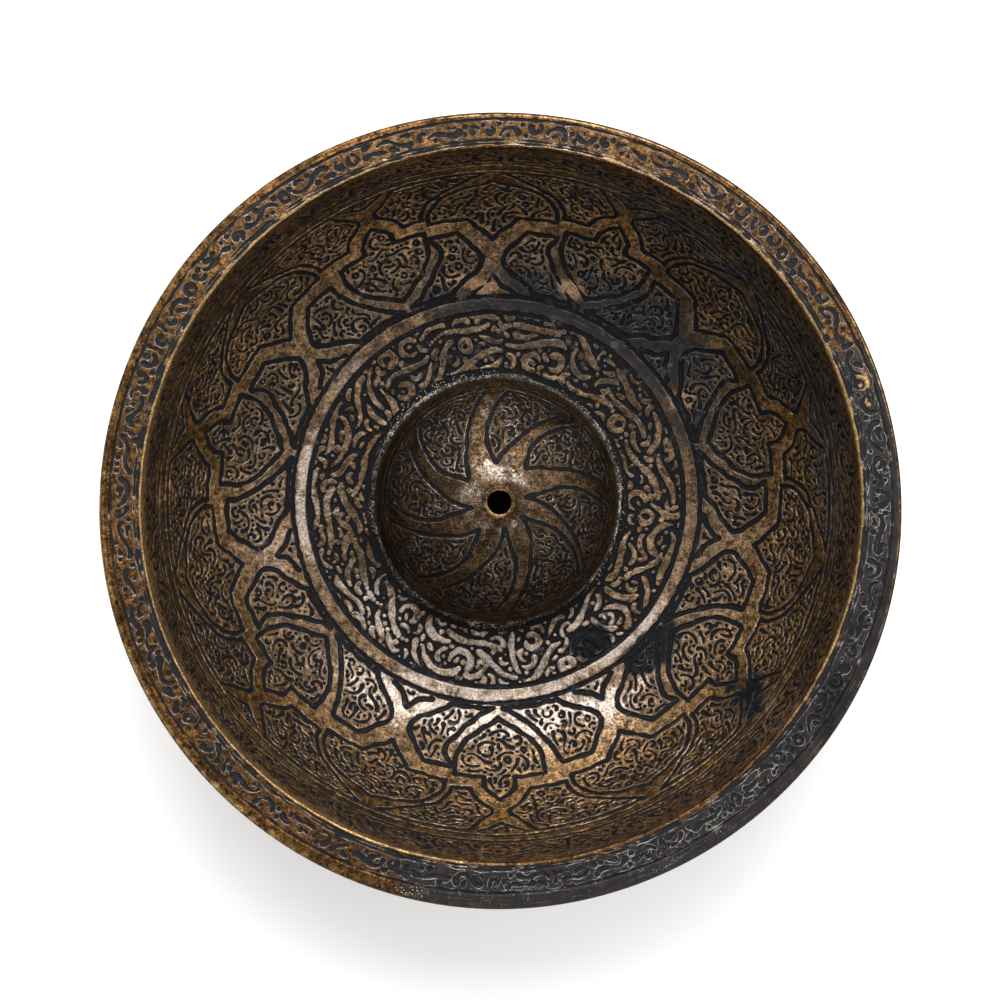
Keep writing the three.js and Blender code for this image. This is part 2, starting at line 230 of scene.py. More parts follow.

# Patches of wear, deposits, painted highlights and painted shade: degrees, radius, half length round the
# bowl, half width and strength of each patch
COPPER_PATCHES = (
    (71, 56.8, 4.4, 2.8, 1.0), (93, 54.2, 5, 2.6, 1.0), (28.5, 53.8, 2.8, 4, 1.3), (101, 57, 5, 2, 0.8),
)
# Silvery wear and painted highlights: the lamps' sheen on the near side of the floor and the lower wall, and
# on the crown and the far slope of the boss; a negative strength takes highlight away
SILVER_WEAR_AND_HIGHLIGHT_PATCHES = (
    (278, 56, 19, 6, 0.95), (242, 57, 18, 6, 0.75), (300, 60, 10, 4, 0.6), (190, 58, 10, 5, 0.5),
    (270, 42, 21, 9, 1.1), (228, 42, 16, 8, 0.95), (308, 40, 10, 7, 0.75), (182, 44, 9, 5, 0.4),
    (268, 48.9, 20, 1.9, 0.85), (180, 48.9, 22, 1.9, 1.0), (318, 49.2, 12, 1.9, 1.0),
    (140, 48.9, 10, 1.9, 0.5), (225, 48.9, 14, 2.2, -0.65),
    (108, 8, 6, 3.8, 0.42), (74, 7, 5, 3, 0.42), (155, 8, 5, 3.4, 0.35), (260, 8, 14, 4, 0.4),
    (100, 22, 4, 9, 0.35),
)
# Sooty black patches, and painted shade on the far side of the wall and along the outer edge of the rim
SOOT_AND_SHADE_PATCHES = (
    (316, 54.8, 8, 4.4, 1.7), (304, 43.5, 6, 4.0, 1.4), (322, 78.5, 9, 7, 0.85),
    (48, 55, 22, 7, 0.36), (75, 49, 14, 3, 0.34), (20, 50, 10, 3, 0.3), (100, 66, 16, 7, 0.3),
    (20, 80, 16, 10, 0.45), (60, 76, 30, 12, 0.4), (225, 31, 16, 3, 0.5), (330, 94, 60, 9, 0.5),
    (35, 96.6, 40, 1.3, 0.5),
)
CHALK_PATCHES = (
    (257, 97.2, 4, 1.2, 1.3), (275, 95, 45, 4, 0.42), (303, 94, 25, 4, 0.3), (125, 32, 9, 1.6, 1.2),
    (150, 31.6, 8, 1.4, 0.8), (187, 31.6, 6, 1.4, 0.9), (270, 32, 9, 1.3, 1.1), (322, 32, 9, 1.2, 0.7),
    (225, 31.8, 9, 1.3, 0.8),
    (98, 32, 10, 1.4, 0.7), (15, 31.8, 14, 1.2, 0.7), (50, 31.8, 9, 1.2, 0.6), (350, 31.8, 9, 1.2, 0.6),
)
GREEN_PATCHES = ((294, 97, 8, 1.2, 1), (310, 95.4, 10, 1, 0.5), (262, 94, 6, 2, 0.3))
# Bare gold wear with painted highlights: a spot on the rim's band, the lip all round, and the outer edge on
# the left
GILT_AND_HIGHLIGHT_PATCHES = (
    (19, 93.2, 2.4, 1.4, 1.6), (15.6, 92.6, 1.1, 1.0, 1.4),
    (230, 87.7, 60, 0.6, 1.1), (95, 87.9, 60, 0.5, 0.7), (45, 87.9, 50, 0.5, 1.1),
    (12, 87.9, 40, 0.5, 0.7),
    (150, 87.8, 60, 0.6, 0.9), (185, 87.8, 40, 0.6, 0.9), (345, 87.9, 40, 0.5, 0.8),
    (225, 98, 60, 2, 0.35), (165, 98, 60, 2, 0.3),
)
# Painted shade, added to the rim's black patina in the black field: darker patches on the far side of the
# wall and of the floor, and on the boss's near and side slopes
PAINTED_SHADE_PATCHES = (
    (84, 56, 26, 4.5, 0.5), (100, 48.9, 16, 1.8, 0.5), (70, 48.9, 14, 1.8, 0.5), (40, 62, 26, 8, 0.5),
    (12, 83, 38, 6, 0.85), (58, 82, 38, 6, 0.75),
    (50, 57, 26, 9, 0.85), (85, 52, 24, 6, 0.6), (22, 52, 14, 5, 0.65), (118, 62, 16, 8, 0.45),
    (352, 55, 14, 6, 0.35), (48, 49.5, 20, 2, 0.4),
    (60, 40, 20, 7, 0.45), (140, 52, 12, 5, 0.35), (112, 38, 28, 7, 0.55), (20, 42, 14, 5, 0.35),
    (275, 21, 20, 9, 0.4), (200, 21, 14, 8, 0.25), (350, 22, 12, 7, 0.25),
)

# The blackened part of the rim: from and to what degrees, from what radius, and over what angle it ends
BLACK_RIM = (254, 384)
BLACK_RIM_START = 88.5
BLACK_RIM_EASE = 0.12

# Colours of what lies on the metal, of painted shade and glints, of where it is scratched or rubbed, and of
# the solder
BLACK_PATINA_AND_SHADE = (0.023, 0.0225, 0.025)
PATINA_SCRATCH = (0.17, 0.17, 0.16)
PALE_DUST = (0.36, 0.35, 0.31)
FILLING_SCRATCH = (0.13, 0.125, 0.12)
GREY_FILM = (0.15, 0.15, 0.16)
SOOT_AND_SHADE_COLOUR = (0.0045, 0.005, 0.007)
GLINT_LINE_IN_SOOT_AND_SHADE = (0.16, 0.16, 0.155)
CHALK = (0.50, 0.48, 0.43)
VERDIGRIS = (0.13, 0.30, 0.27)
SOLDER_HOLLOW = (0.014, 0.012, 0.010)
SOLDER_TOP = (0.13, 0.10, 0.07)
SOLDER_GRAIN = (0.52, 0.50, 0.44)

# Fineness: rows and columns of each grid, columns of the plain rings, points of a stroke and of curves,
# rings that the interlace is made in, rows under a strip, and rounds of the large strokes
BAND_GRID = (76, 1180)
LACE_GRID = (206, 2100)
FRIEZE_GRID = (52, 1700)
RIM_GRID = (42, 2100)
BOSS_GRID = (118, 720)
SOLDER_GRID = (20, 1600)
EDGE_COLUMNS = 1200
OUTSIDE_COLUMNS = 420
EYELET_COLUMNS = 240
SAMPLES = 16
LEAF_STEPS = 60
ARC_STEPS = 1200
LIP_STEPS = 40
FILLET_STEPS = 9
BOSS_INNER_STEPS = 16
EYELET_STEPS = 14
BEHIND_STEPS = 18
OUTSIDE_STEPS = 60
LACE_PIECES = 5
UNDER_ROWS = 4
STROKE_ROUNDS = 8

# Camera: the point of the rim's level that it looks at and its distance from there, in metres, how far
# to the left and to the far side it stands, in degrees, and its lens and sensor
CAMERA_TARGET = (-0.0006, 0.0011)
CAMERA_DISTANCE = 1.2
CAMERA_LEFT = 1.8
CAMERA_FAR = 1.3
CAMERA_LENS = 177.3
CAMERA_SENSOR = 36

# Lamps: name, power, and in metres and degrees their size, azimuth, elevation and distance
LAMPS = (
    ("soft_lamp", "lamp_power", 1.0, 88, 52, 1.2), ("side_lamp", "side_power", 0.9, 15, 38, 1.3),
    ("near_lamp", "near_power", 0.9, 285, 30, 1.3), ("far_lamp", "far_power", 0.9, 118, 26, 1.3),
)

# Distance from a cut that stands for far away, how far round a stroke its distance is worked out, and how
# many points of a long line are cut together
FAR = 2.0
STROKE_REACH = 1.25
STRETCH = 12


class BowlSizes(bpy.types.PropertyGroup):
    """Driving sizes of the bowl and of its engraving."""

    rim_radius: FloatProperty(
        name="Rim radius", description="Outer radius of the rim", default=CAD_RIM_RADIUS * MM,
        unit="LENGTH")
    lip_radius: FloatProperty(
        name="Lip radius", description="Radius of the mouth at the lip", default=87.6 * MM, unit="LENGTH")
    boss_radius: FloatProperty(
        name="Boss radius", description="Radius of the boss at its foot", default=30.8 * MM, unit="LENGTH")
    hole_radius: FloatProperty(
        name="Hole radius", description="Radius of the hole cut in the boss", default=3.65 * MM,
        unit="LENGTH")
    groove_depth: FloatProperty(
        name="Groove depth", description="Depth of the engraving", default=0.34 * MM, unit="LENGTH")
    stroke_half: FloatProperty(
        name="Stroke half width", description="Half the width of a fine engraved stroke",
        default=0.36 * MM, unit="LENGTH")
    seed: IntProperty(name="Seed", description="Choice of the scattered strokes", default=7, min=0)


class BowlFinish(bpy.types.PropertyGroup):
    """Colours of the metal, of what fills its engraving, of what lies on it and of the painted highlights."""

    brass_dark: FloatVectorProperty(
        name="Dark brass", description="Brass under its brown patina", subtype="COLOR",
        default=(0.062, 0.038, 0.021), min=0, max=1)
    brass_bright: FloatVectorProperty(
        name="Bright brass", description="Brass where hands have rubbed it", subtype="COLOR",
        default=(0.66, 0.37, 0.135), min=0, max=1)
    brass_grey: FloatVectorProperty(
        name="Grey brass", description="Rubbed brass on the floor of the bowl", subtype="COLOR",
        default=(0.435, 0.29, 0.172), min=0, max=1)
    compound: FloatVectorProperty(
        name="Black compound", description="Filling of the engraving", subtype="COLOR",
        default=(0.0055, 0.0058, 0.0072), min=0, max=1)
    # Also the colour of the painted highlights on the lip and the rim's edge
    gilt: FloatVectorProperty(
        name="Gilt edge", description="Bare golden brass on the edges", subtype="COLOR",
        default=(0.62, 0.40, 0.17), min=0, max=1)
    copper: FloatVectorProperty(
        name="Coppery wear", description="Peach coloured wear", subtype="COLOR",
        default=(0.47, 0.285, 0.175), min=0, max=1)
    # Also the colour of the painted highlights and of the painted glint beside the cuts
    silver: FloatVectorProperty(
        name="Silvery wear", description="Pinkish silver wear", subtype="COLOR",
        default=(0.60, 0.50, 0.425), min=0, max=1)


class BowlStage(bpy.types.PropertyGroup):
    """Light and floor round the bowl."""

    lamp_power: FloatProperty(name="Lamp power", description="Power of the soft lamp", default=18.0)
    side_power: FloatProperty(name="Side power", description="Power of the lamp on the right", default=4.0)
    near_power: FloatProperty(
        name="Near power", description="Power of the lamp on the near side", default=5.0)
    far_power: FloatProperty(name="Far power", description="Power of the low far lamp", default=5.0)
    sky: FloatProperty(name="Sky", description="Brightness of the even light", default=0.40)
    floor_glow: FloatProperty(name="Floor glow", description="Light that the floor gives off", default=0.30)
    floor_colour: FloatVectorProperty(
        name="Floor colour", description="Colour of the pale floor", subtype="COLOR",
        default=(0.88, 0.88, 0.88), min=0, max=1)


def section(radius, height, oval):
    """Lay a section out by its length: stations every PATH_STEP, with radius, height and unit normal.

    The normal is the direction of travel turned left, so it points up where the section runs out. oval
    says whether the section takes part in the oval of the mouth."""
    run = np.concatenate(([0], np.cumsum(np.hypot(np.diff(radius), np.diff(height)))))
    even = np.arange(0, run[-1], PATH_STEP)
    even_radius = np.interp(even, run, radius)
    even_height = np.interp(even, run, height)
    slope_radius = np.gradient(even_radius)
    slope_height = np.gradient(even_height)
    length = np.hypot(slope_radius, slope_height)
    return SimpleNamespace(
        run=even, radius=even_radius, height=even_height, oval=oval,
        out=-slope_height / length, up=slope_radius / length)


def even_turns(count):
    """Angles in even steps once round the axis."""
    return np.arange(count) * (TURN / count)


def turn_from(turns, degrees):
    """Angle from a direction given in degrees, between minus and plus half a turn."""
    return (turns - math.radians(degrees) + math.pi) % TURN - math.pi


def ring_points(radius, turns, height):
    """Grid of points from radius, angle and height: x is the radius times the cosine, y times the sine."""
    radius, height = np.broadcast_arrays(radius + 0 * turns, height)
    return np.stack((radius * np.cos(turns), radius * np.sin(turns), height), -1)


def wall_reach(sizes):
    """How far the quarter ellipse of the wall runs out from the edge of the flat floor."""
    return sizes.lip_radius / MM - LIP_LEAN - FLOOR_RADIUS


def inner_section(sizes):
    """Section of the upper surface from the axis to the end of the rim band.

    A flat floor, a quarter ellipse up to the mouth, a short lean, a quarter round over the lip and the
    nearly level top of the rim."""
    turn = np.linspace(0, math.pi / 2, ARC_STEPS)
    roll = np.linspace(math.pi, math.pi / 2, LIP_STEPS)
    radius = np.concatenate((
        [0], FLOOR_RADIUS + wall_reach(sizes) * np.sin(turn),
        sizes.lip_radius / MM + LIP_ROUND + LIP_ROUND * np.cos(roll), [SECTION_END]))
    height = np.concatenate((
        [FLOOR_LEVEL], FLOOR_LEVEL + WALL_RISE * (1 - np.cos(turn)),
        BOWL_HEIGHT - LIP_ROUND + LIP_ROUND * np.sin(roll), [rim_top(sizes, SECTION_END)]))
    path = section(radius, height, oval=True)
    path.mouth = path.run[np.searchsorted(path.height, FLOOR_LEVEL + WALL_RISE)]
    return path


def rim_top(sizes, radius):
    """Height of the top of the rim, which falls evenly from the lip to the outer edge."""
    start = sizes.lip_radius / MM + LIP_ROUND
    end = sizes.rim_radius / MM
    return BOWL_HEIGHT - RIM_DROP * (radius - start) / (end - start)


def run_at(path, radius):
    """Length along a section at a radius, on the part where the radius grows."""
    return np.interp(radius, path.radius, path.run)


def ovality(turns, share):
    """The mouth is slightly oval and off the axis: the radius swells twice and once round the bowl, more
    towards the lip."""
    off_axis = LIP_SHIFT[0] * np.cos(turns) + LIP_SHIFT[1] * np.sin(turns) - LIP_TRIM
    return share * (OVAL * np.cos(2 * (turns - OVAL_ANGLE)) + off_axis)


def unevenness(turns, run):
    """Slow hollows and swellings of a hand-worked wall: a sum of waves round and along it."""
    return sum(size * np.sin(times * turns + slope * run + start) for size, times, slope, start in WALL_WAVES)


def smooth_step(value):
    """Ease from 0 to 1 by the cubic 3v^2 - 2v^3, with v held between 0 and 1."""
    held = np.clip(value, 0, 1)
    return held * held * (3 - 2 * held)


def soft_noise(random, rows, columns, row_scale, column_scale):
    """Random field that closes round the columns: white noise blurred by a bell curve, spread 1."""
    white = np.fft.rfft2(random.standard_normal((rows, columns)))
    along = np.fft.fftfreq(rows)[:, None] * row_scale
    around = np.fft.rfftfreq(columns)[None, :] * column_scale
    field = np.fft.irfft2(white * np.exp(-2 * math.pi ** 2 * (along ** 2 + around ** 2)), (rows, columns))
    return field / field.std()


class Strip:
    """A ring-shaped strip of metal laid flat: rows run along the section, columns round the axis.

    gap holds, at each crossing, the distance to the edge of the nearest cut, negative inside it."""

    def __init__(self, path, low, high, grid):
        rows, self.columns = grid
        self.path = path
        self.run = np.linspace(low, high, rows)
        self.turns = even_turns(self.columns)
        self.radius = np.interp(self.run, path.run, path.radius)
        self.gap = np.full(grid, FAR, np.float32)

    def between(self, inner, outer):
        """Mark the whole ring between two radii."""
        marked = (self.radius > inner) & (self.radius < outer)
        return np.broadcast_to(marked[:, None], self.gap.shape)

    def ring_line(self, run, half, waver=0.08):
        """Cut a line round the whole strip: the distance is that along the section to its middle."""
        middle = run + waver * (np.sin(3 * self.turns + run) + 0.6 * np.sin(8 * self.turns + 2 * run))
        self.gap = np.minimum(self.gap, np.abs(self.run[:, None] - middle[None]) - half)

    def cut(self, turns, runs, halves):
        """Cut one stroke: the field keeps the least of itself and the distance to the stroke's discs."""
        reach = halves.max() + STROKE_REACH
        first, last = np.searchsorted(self.run, (runs.min() - reach, runs.max() + reach))
        if first == last:
            return
        radius = max(self.radius[min(first, self.radius.size - 1)], 1.0)
        step = TURN / self.columns
        start, end = (turns.min() - reach / radius) / step, (turns.max() + reach / radius) / step
        columns = np.arange(math.floor(start), math.ceil(end))
        across = self.radius[first:last, None, None] * (columns[None, :, None] * step - turns)
        along = self.run[first:last, None, None] - runs
        near = (np.hypot(across, along) - halves).min(-1)
        wrapped = columns % self.columns
        block = self.gap[first:last]
        block[:, wrapped] = np.minimum(block[:, wrapped], near)

    def cut_line(self, turns, runs, half):
        """Cut a long line in short stretches, so that each touches only the grid near it."""
        for start in range(0, turns.size - 1, STRETCH):
            stretch = slice(start, start + STRETCH + 1)
            self.cut(turns[stretch], runs[stretch], np.full(turns[stretch].size, half))

    def unsteady(self, random, amount):
        """Push the edges of the cuts in and out by soft noise, as an unsteady hand leaves them."""
        self.gap += amount * soft_noise(random, *self.gap.shape, 2.2, 3.2).astype(np.float32)

    def scatter(self, room, strokes, clearance, random):
        """Throw strokes at the room and cut each that clears every earlier cut by the clearance."""
        across, along, halves = strokes
        free = np.flatnonzero((room & (self.gap > halves.min())).ravel())
        if free.size == 0:
            return
        rows, columns = np.divmod(random.choice(free, across.shape[0]), self.columns)
        turns = self.turns[columns][:, None] + across / self.radius[rows][:, None]
        runs = self.run[rows][:, None] + along
        row_index = np.rint((runs - self.run[0]) / (self.run[1] - self.run[0])).astype(int)
        column_index = np.rint(turns / (TURN / self.columns)).astype(int) % self.columns
        inside = ((row_index > 0) & (row_index < self.run.size - 1)).all(1)
        row_index = np.clip(row_index, 0, self.run.size - 1)
        need = halves + clearance
        clear = inside & (self.gap[row_index, column_index] > need).all(1)
        clear &= room[row_index, column_index].all(1)
        for index in np.flatnonzero(clear):
            if (self.gap[row_index[index], column_index[index]] > need[index]).all():
                self.cut(turns[index], runs[index], halves[index])


def strokes(random, count, length, half, bend, wave, bulb, lean, spread, taper=0.0):
    """Curves whose heading turns by a square law of their length, as offsets round and along.

    The heading is start + bend * (u - wave * u^2). The half width is largest at the head and falls off
    towards the tail, and a taper narrows both ends."""
    share = np.linspace(0, 1, SAMPLES)
    scale = random.uniform(0.75, 1.2, (count, 1))
    start = lean + random.uniform(-spread, spread, (count, 1))
    turn = bend * random.uniform(0.7, 1.15, (count, 1)) * random.choice((-1, 1), (count, 1))
    heading = start + turn * (share - wave * share ** 2)
    step = length * scale / (SAMPLES - 1)
    across = np.cumsum(np.cos(heading) * step, 1)
    along = np.cumsum(np.sin(heading) * step, 1)
    across -= across.mean(1, keepdims=True)
    along -= along.mean(1, keepdims=True)
    halves = half * (1 + bulb * np.exp(-(share / 0.22) ** 2) - 0.4 * bulb * share)
    halves = halves * (1 - taper * (1 - np.sin(math.pi * share) ** 0.7))
    return across, along, halves * random.uniform(0.88, 1.1, (count, 1))


def fill_fine(strip, room, random, scale, half, clearance, tries):
    """Fill the room with curls, scrolls and stems in turns, then with hooks, dashes and dots.

    Each row of the tables gives how many are thrown, and their length, width, bend, wave, bulb, lean and
    spread."""
    up = math.pi / 2
    large = (
        (400, 5.8, 1.0, 4.2, 0.35, 0.3, 0, math.pi), (500, 6.4, 1.0, 5.2, 1.0, 0.4, 0, math.pi),
        (200, 3.7, 1.0, 4.6, 0.0, 0.5, 0, math.pi), (500, 3.6, 1.05, 0.9, 0.3, 0.5, up, 0.4),
        (500, 4.8, 1.0, 3.0, 0.1, 0.5, 0, math.pi), (400, 5.2, 0.95, 3.6, 1.3, 0.5, 0, 0.9),
    )
    small = (
        (9000, 3.2, 0.95, 2.4, 0.6, 0.5, 0, math.pi), (9000, 2.6, 0.95, 3.2, 0.0, 0.5, 0, math.pi),
        (14000, 1.9, 0.9, 1.6, 0.0, 0.6, 0, math.pi), (14000, 1.1, 0.9, 0.6, 0.0, 0.5, 0, math.pi),
        (14000, 0.08, 1.1, 0.0, 0.0, 0.0, 0, math.pi),
    )
    for count, length, width, *shape in large * STROKE_ROUNDS + small:
        made = strokes(random, int(count * tries), length * scale, half * width, *shape)
        strip.scatter(room, made, clearance, random)


def smooth_run(points, steps=10):
    """Curve through points, as one array: cubics whose slope at each point is half the step between its
    neighbours."""
    known = np.asarray(points, float)
    padded = np.vstack((2 * known[0] - known[1], known, 2 * known[-1] - known[-2]))
    share = np.linspace(0, 1, steps, endpoint=False)[:, None, None]
    before, start, end, after = padded[:-3], padded[1:-2], padded[2:-1], padded[3:]
    curve = start + 0.5 * share * (end - before) + share ** 2 * (
        before - 2.5 * start + 2 * end - 0.5 * after) + 0.5 * share ** 3 * (
        after - before + 3 * (start - end))
    return np.vstack((curve.transpose(1, 0, 2).reshape(-1, known.shape[1]), known[-1:]))


def outline_points(runs, lines, side, path):
    """Turn an outline's runs into angles and lengths along the section, on one side of its line.

    The points are laid out again in even steps, with the angle weighed by a middle radius."""
    made = []
    for run in runs:
        points = []
        for line, away, radius in run:
            towards = side if line == 0 else -side
            points.append((math.radians(lines[line] + towards * away), radius))
        made.append(smooth_run(points))
    turns, radius = np.vstack(made).T
    steps = np.hypot(np.diff(turns) * LACE_MIDDLE, np.diff(radius))
    length = np.concatenate(([0], np.cumsum(steps)))
    even = np.linspace(0, length[-1], max(int(length[-1] / OUTLINE_STEP), 8))
    return np.interp(even, length, turns), run_at(path, np.interp(even, length, radius))


def add_inside(strip, room, turns, runs):
    """Add to the room the crossings inside a closed outline: those whose line to one side meets it an odd
    number of times."""
    first, last = np.searchsorted(strip.run, (runs.min(), runs.max()))
    step = TURN / strip.columns
    columns = np.arange(math.floor(turns.min() / step), math.ceil(turns.max() / step) + 1)
    place = columns[None, :, None] * step
    level = strip.run[first:last, None, None]
    turn_end, run_end = np.roll(turns, -1), np.roll(runs, -1)
    rise = np.where(run_end == runs, 1e-9, run_end - runs)
    crossing = turns + (level - runs) * (turn_end - turns) / rise
    meets = ((runs > level) != (run_end > level)) & (place < crossing)
    block = room[first:last]
    block[:, columns % strip.columns] |= meets.sum(-1) % 2 == 1


def draw_compartment(strip, room, turns, runs, random):
    """Cut a closed outline with a slightly unsteady hand and add its inside to the room."""
    add_inside(strip, room, turns, runs)
    waver = np.sin(np.arange(turns.size) * 0.35 + random.uniform(0, TURN)) * 0.10
    radius = np.interp(runs, strip.run, strip.radius)
    climb = (radius.mean() - RING_OUTER_LINE) / (WALL_LOWER_LINE - RING_OUTER_LINE)
    half = OUTLINE_HALF[0] + (OUTLINE_HALF[1] - OUTLINE_HALF[0]) * climb
    close = np.append(np.arange(turns.size), 0)
    strip.cut_line((turns + waver / radius)[close], (runs + waver)[close], half)


def interlace(strip, random):
    """Cut the seven-fold interlace: every medallion with its leaves and darts, and every shield."""
    room = np.zeros(strip.gap.shape, bool)
    for index, middle in enumerate(MEDALLIONS):
        before = SHIELDS[index]
        after = SHIELDS[(index + 1) % len(SHIELDS)]
        after += 360 if after < middle else 0
        for side, shield in ((1, after), (-1, before)):
            for runs in (LOWER_LEAF, UPPER_LEAF):
                outline = outline_points(runs, (middle, shield), side, strip.path)
                draw_compartment(strip, room, *outline, random)
        for runs in (MEDALLION, SHIELD, UPPER_DARTS, LOWER_DARTS):
            out, back = (outline_points(runs, (middle, before), side, strip.path) for side in (1, -1))
            turns, lengths = (np.concatenate((one, other[::-1])) for one, other in zip(out, back))
            draw_compartment(strip, room, turns, lengths, random)
    return room


def patch_field(turns, radius, patches):
    """Sum of bell-shaped patches, each given by degrees, radius, half length, half width, strength."""
    field = np.zeros(np.broadcast_shapes(turns.shape, radius.shape), np.float32)
    for degrees, place, half_length, half_width, strength in patches:
        across = turn_from(turns, degrees) * place / half_length
        field += strength * np.exp(-(across ** 2 + ((radius - place) / half_width) ** 2))
    return field


def bells(turns, rows):
    """Bell curve round the axis for each row of degrees, half width in degrees and height."""
    for degrees, half_width, height in rows:
        yield height * np.exp(-(turn_from(turns, degrees) / math.radians(half_width)) ** 2)


def finish_fields(points, gap, plain=False):
    """Fields that the materials read: the distance to the nearest cut and the strength of each kind of
    wear, deposit, painted highlight and painted shade at each point, with none of them on a plain piece.

    The black field is the rim's black patina and the painted shade added up, and gilt and copper wear it
    away."""
    turns = np.arctan2(points[..., 1], points[..., 0])
    radius = np.hypot(points[..., 0], points[..., 1])
    fields = {"gap": gap}
    tables = {
        "copper": COPPER_PATCHES, "silver": SILVER_WEAR_AND_HIGHLIGHT_PATCHES, "soot": SOOT_AND_SHADE_PATCHES, "chalk": CHALK_PATCHES,
        "green": GREEN_PATCHES, "gilt": GILT_AND_HIGHLIGHT_PATCHES, "black": PAINTED_SHADE_PATCHES}
    for name, patches in tables.items():
        fields[name] = patch_field(turns, radius, () if plain else patches)
    start, end = BLACK_RIM
    inside = math.radians((end - start) / 2) - np.abs(turn_from(turns, (start + end) / 2))
    on_rim = smooth_step(radius - BLACK_RIM_START)
    fields["black"] = on_rim * smooth_step(inside / BLACK_RIM_EASE + 0.5) + fields["black"]
    fields["black"] = fields["black"] * (1 - np.clip(1.2 * (fields["gilt"] + fields["copper"]), 0, 1))
    return fields


def put_mesh(name, points, smooth_rows, fields, normals=None, closed=True):
    """Make a mesh object from rows of points that run round the axis.

    Each face joins two rows and two columns. A closed one joins its last row to its first, and an open
    one ends in a single point at each pole. Only faces among the first smooth_rows rows are smooth."""
    rows, columns = points.shape[:2]
    grid = np.arange(rows * columns).reshape(rows, columns)
    lower = grid if closed else grid[:-1]
    upper = np.roll(grid, -1, 0) if closed else grid[1:]
    quads = np.stack((lower, upper, np.roll(upper, -1, 1), np.roll(lower, -1, 1)), -1).reshape(-1, 4)
    corners, sizes = quads.ravel(), np.full(len(quads), 4)
    places = points.reshape(-1, 3)
    if not closed:
        poles = np.stack((points[0].mean(0), points[-1].mean(0)))
        first, last = np.full(columns, grid.size), np.full(columns, grid.size + 1)
        top = np.stack((first, grid[0], np.roll(grid[0], -1)), -1)
        bottom = np.stack((last, np.roll(grid[-1], -1), grid[-1]), -1)
        corners = np.concatenate((corners, top.ravel(), bottom.ravel()))
        sizes = np.concatenate((sizes, np.full(2 * columns, 3)))
        places = np.vstack((places, poles))
    mesh = bpy.data.meshes.new(name)
    mesh.vertices.add(len(places))
    mesh.vertices.foreach_set("co", (places * MM).astype(np.float32).ravel())
    mesh.loops.add(corners.size)
    mesh.loops.foreach_set("vertex_index", corners.astype(np.int32))
    mesh.polygons.add(sizes.size)
    starts = np.concatenate(([0], np.cumsum(sizes)[:-1])).astype(np.int32)
    mesh.polygons.foreach_set("loop_start", starts)
    smooth = np.ones(sizes.size, bool)
    smooth[:len(quads)] = np.repeat(np.arange(lower.shape[0]) < smooth_rows - 1, columns)
    mesh.update(calc_edges=True)
    mesh.polygons.foreach_set("use_smooth", smooth)
    for title, values in fields.items():
        layer = mesh.attributes.new(title, "FLOAT", "POINT")
        data = np.zeros(len(places), np.float32)
        data[:values.size] = values.ravel()
        layer.data.foreach_set("value", data)
    if normals is not None:
        layer = mesh.attributes.new("custom_normal", "FLOAT_VECTOR", "POINT")
        layer.data.foreach_set("vector", normals.astype(np.float32).ravel())
    mesh.update()
    piece = bpy.data.objects.new(name, mesh)
    bpy.context.collection.objects.link(piece)
    return piece


def grid_normals(points):
    """Unit normals of a grid that closes round its columns: the cross product of the change from row to
    row and the change from column to column."""
    along = np.gradient(points, axis=0)
    around = np.roll(points, -1, 1) - np.roll(points, 1, 1)
    normals = np.cross(along, around)
    return normals / np.linalg.norm(normals, axis=-1, keepdims=True)


def rim_spread(turns):
    """How far the outer end of the rim's engraved band is moved out at each angle: one distance, less a
    bell for each pinch."""
    return RIM_SPREAD - sum(bells(turns, RIM_PINCHES))


def turned_points(path, run, turns, rise):
    """Points of a section turned about the axis, each lifted from it along its normal by a rise.

    The oval of the mouth and the spread of the rim's band are added to the radius."""
    radius, height, out, up = (
        np.interp(run, path.run, values)[:, None] for values in (path.radius, path.height, path.out, path.up))
    share = smooth_step((run - OVAL_START) / OVAL_RUN)[:, None] if path.oval else 0
    beyond = np.clip((radius - RIM_INNER_LINES[0]) / (RIM_BAND_END - RIM_INNER_LINES[0]), 0, 1)
    reach = radius + out * rise + ovality(turns[None], share) + beyond * rim_spread(turns)[None]
    return ring_points(reach, turns, np.minimum(height + up * rise, BOWL_HEIGHT))


def sink_of(gap, depth):
    """Depth of the cut metal: nothing outside a cut, easing to the full depth inside it."""
    return depth * smooth_step((CUT_EDGE - gap) / CUT_SLOPE)


def strip_pieces(names, strip, sizes, material, under_runs=None):
    """Make the closed solids of a strip: its engraved face, a skin deep below it, and two narrow sides.

    Several names share the strip's rows between them, and normals come from the whole strip, so that
    light runs on over the joins."""
    rise = unevenness(strip.turns[None], strip.run[:, None]) - sink_of(strip.gap, sizes.groove_depth / MM)
    points = turned_points(strip.path, strip.run, strip.turns, rise)
    normals = grid_normals(points)
    edges = np.linspace(0, strip.run.size - 1, len(names) + 1).astype(int)
    for name, first, last in zip(names, edges[:-1], edges[1:]):
        rows = slice(first, last + 1)
        under_run = np.array(under_runs or np.linspace(strip.run[last], strip.run[first], UNDER_ROWS))
        under = turned_points(strip.path, under_run, strip.turns, np.full((under_run.size, 1), -SKIN))
        solid = np.concatenate((points[rows], under))
        facing = np.concatenate((normals[rows], np.broadcast_to(-normals[first], under.shape)))
        gap = np.concatenate((strip.gap[rows], np.full(under.shape[:2], FAR)))
        piece = put_mesh(name, solid, last + 1 - first, finish_fields(solid, gap), facing)
        dress(piece, "bowl_body", material)


def dress(piece, node_name, material):
    """Give a piece its material and its body, and hide the solid that it stands for."""
    piece.data.materials.append(material)
    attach(piece, "root")
    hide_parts(node_name)


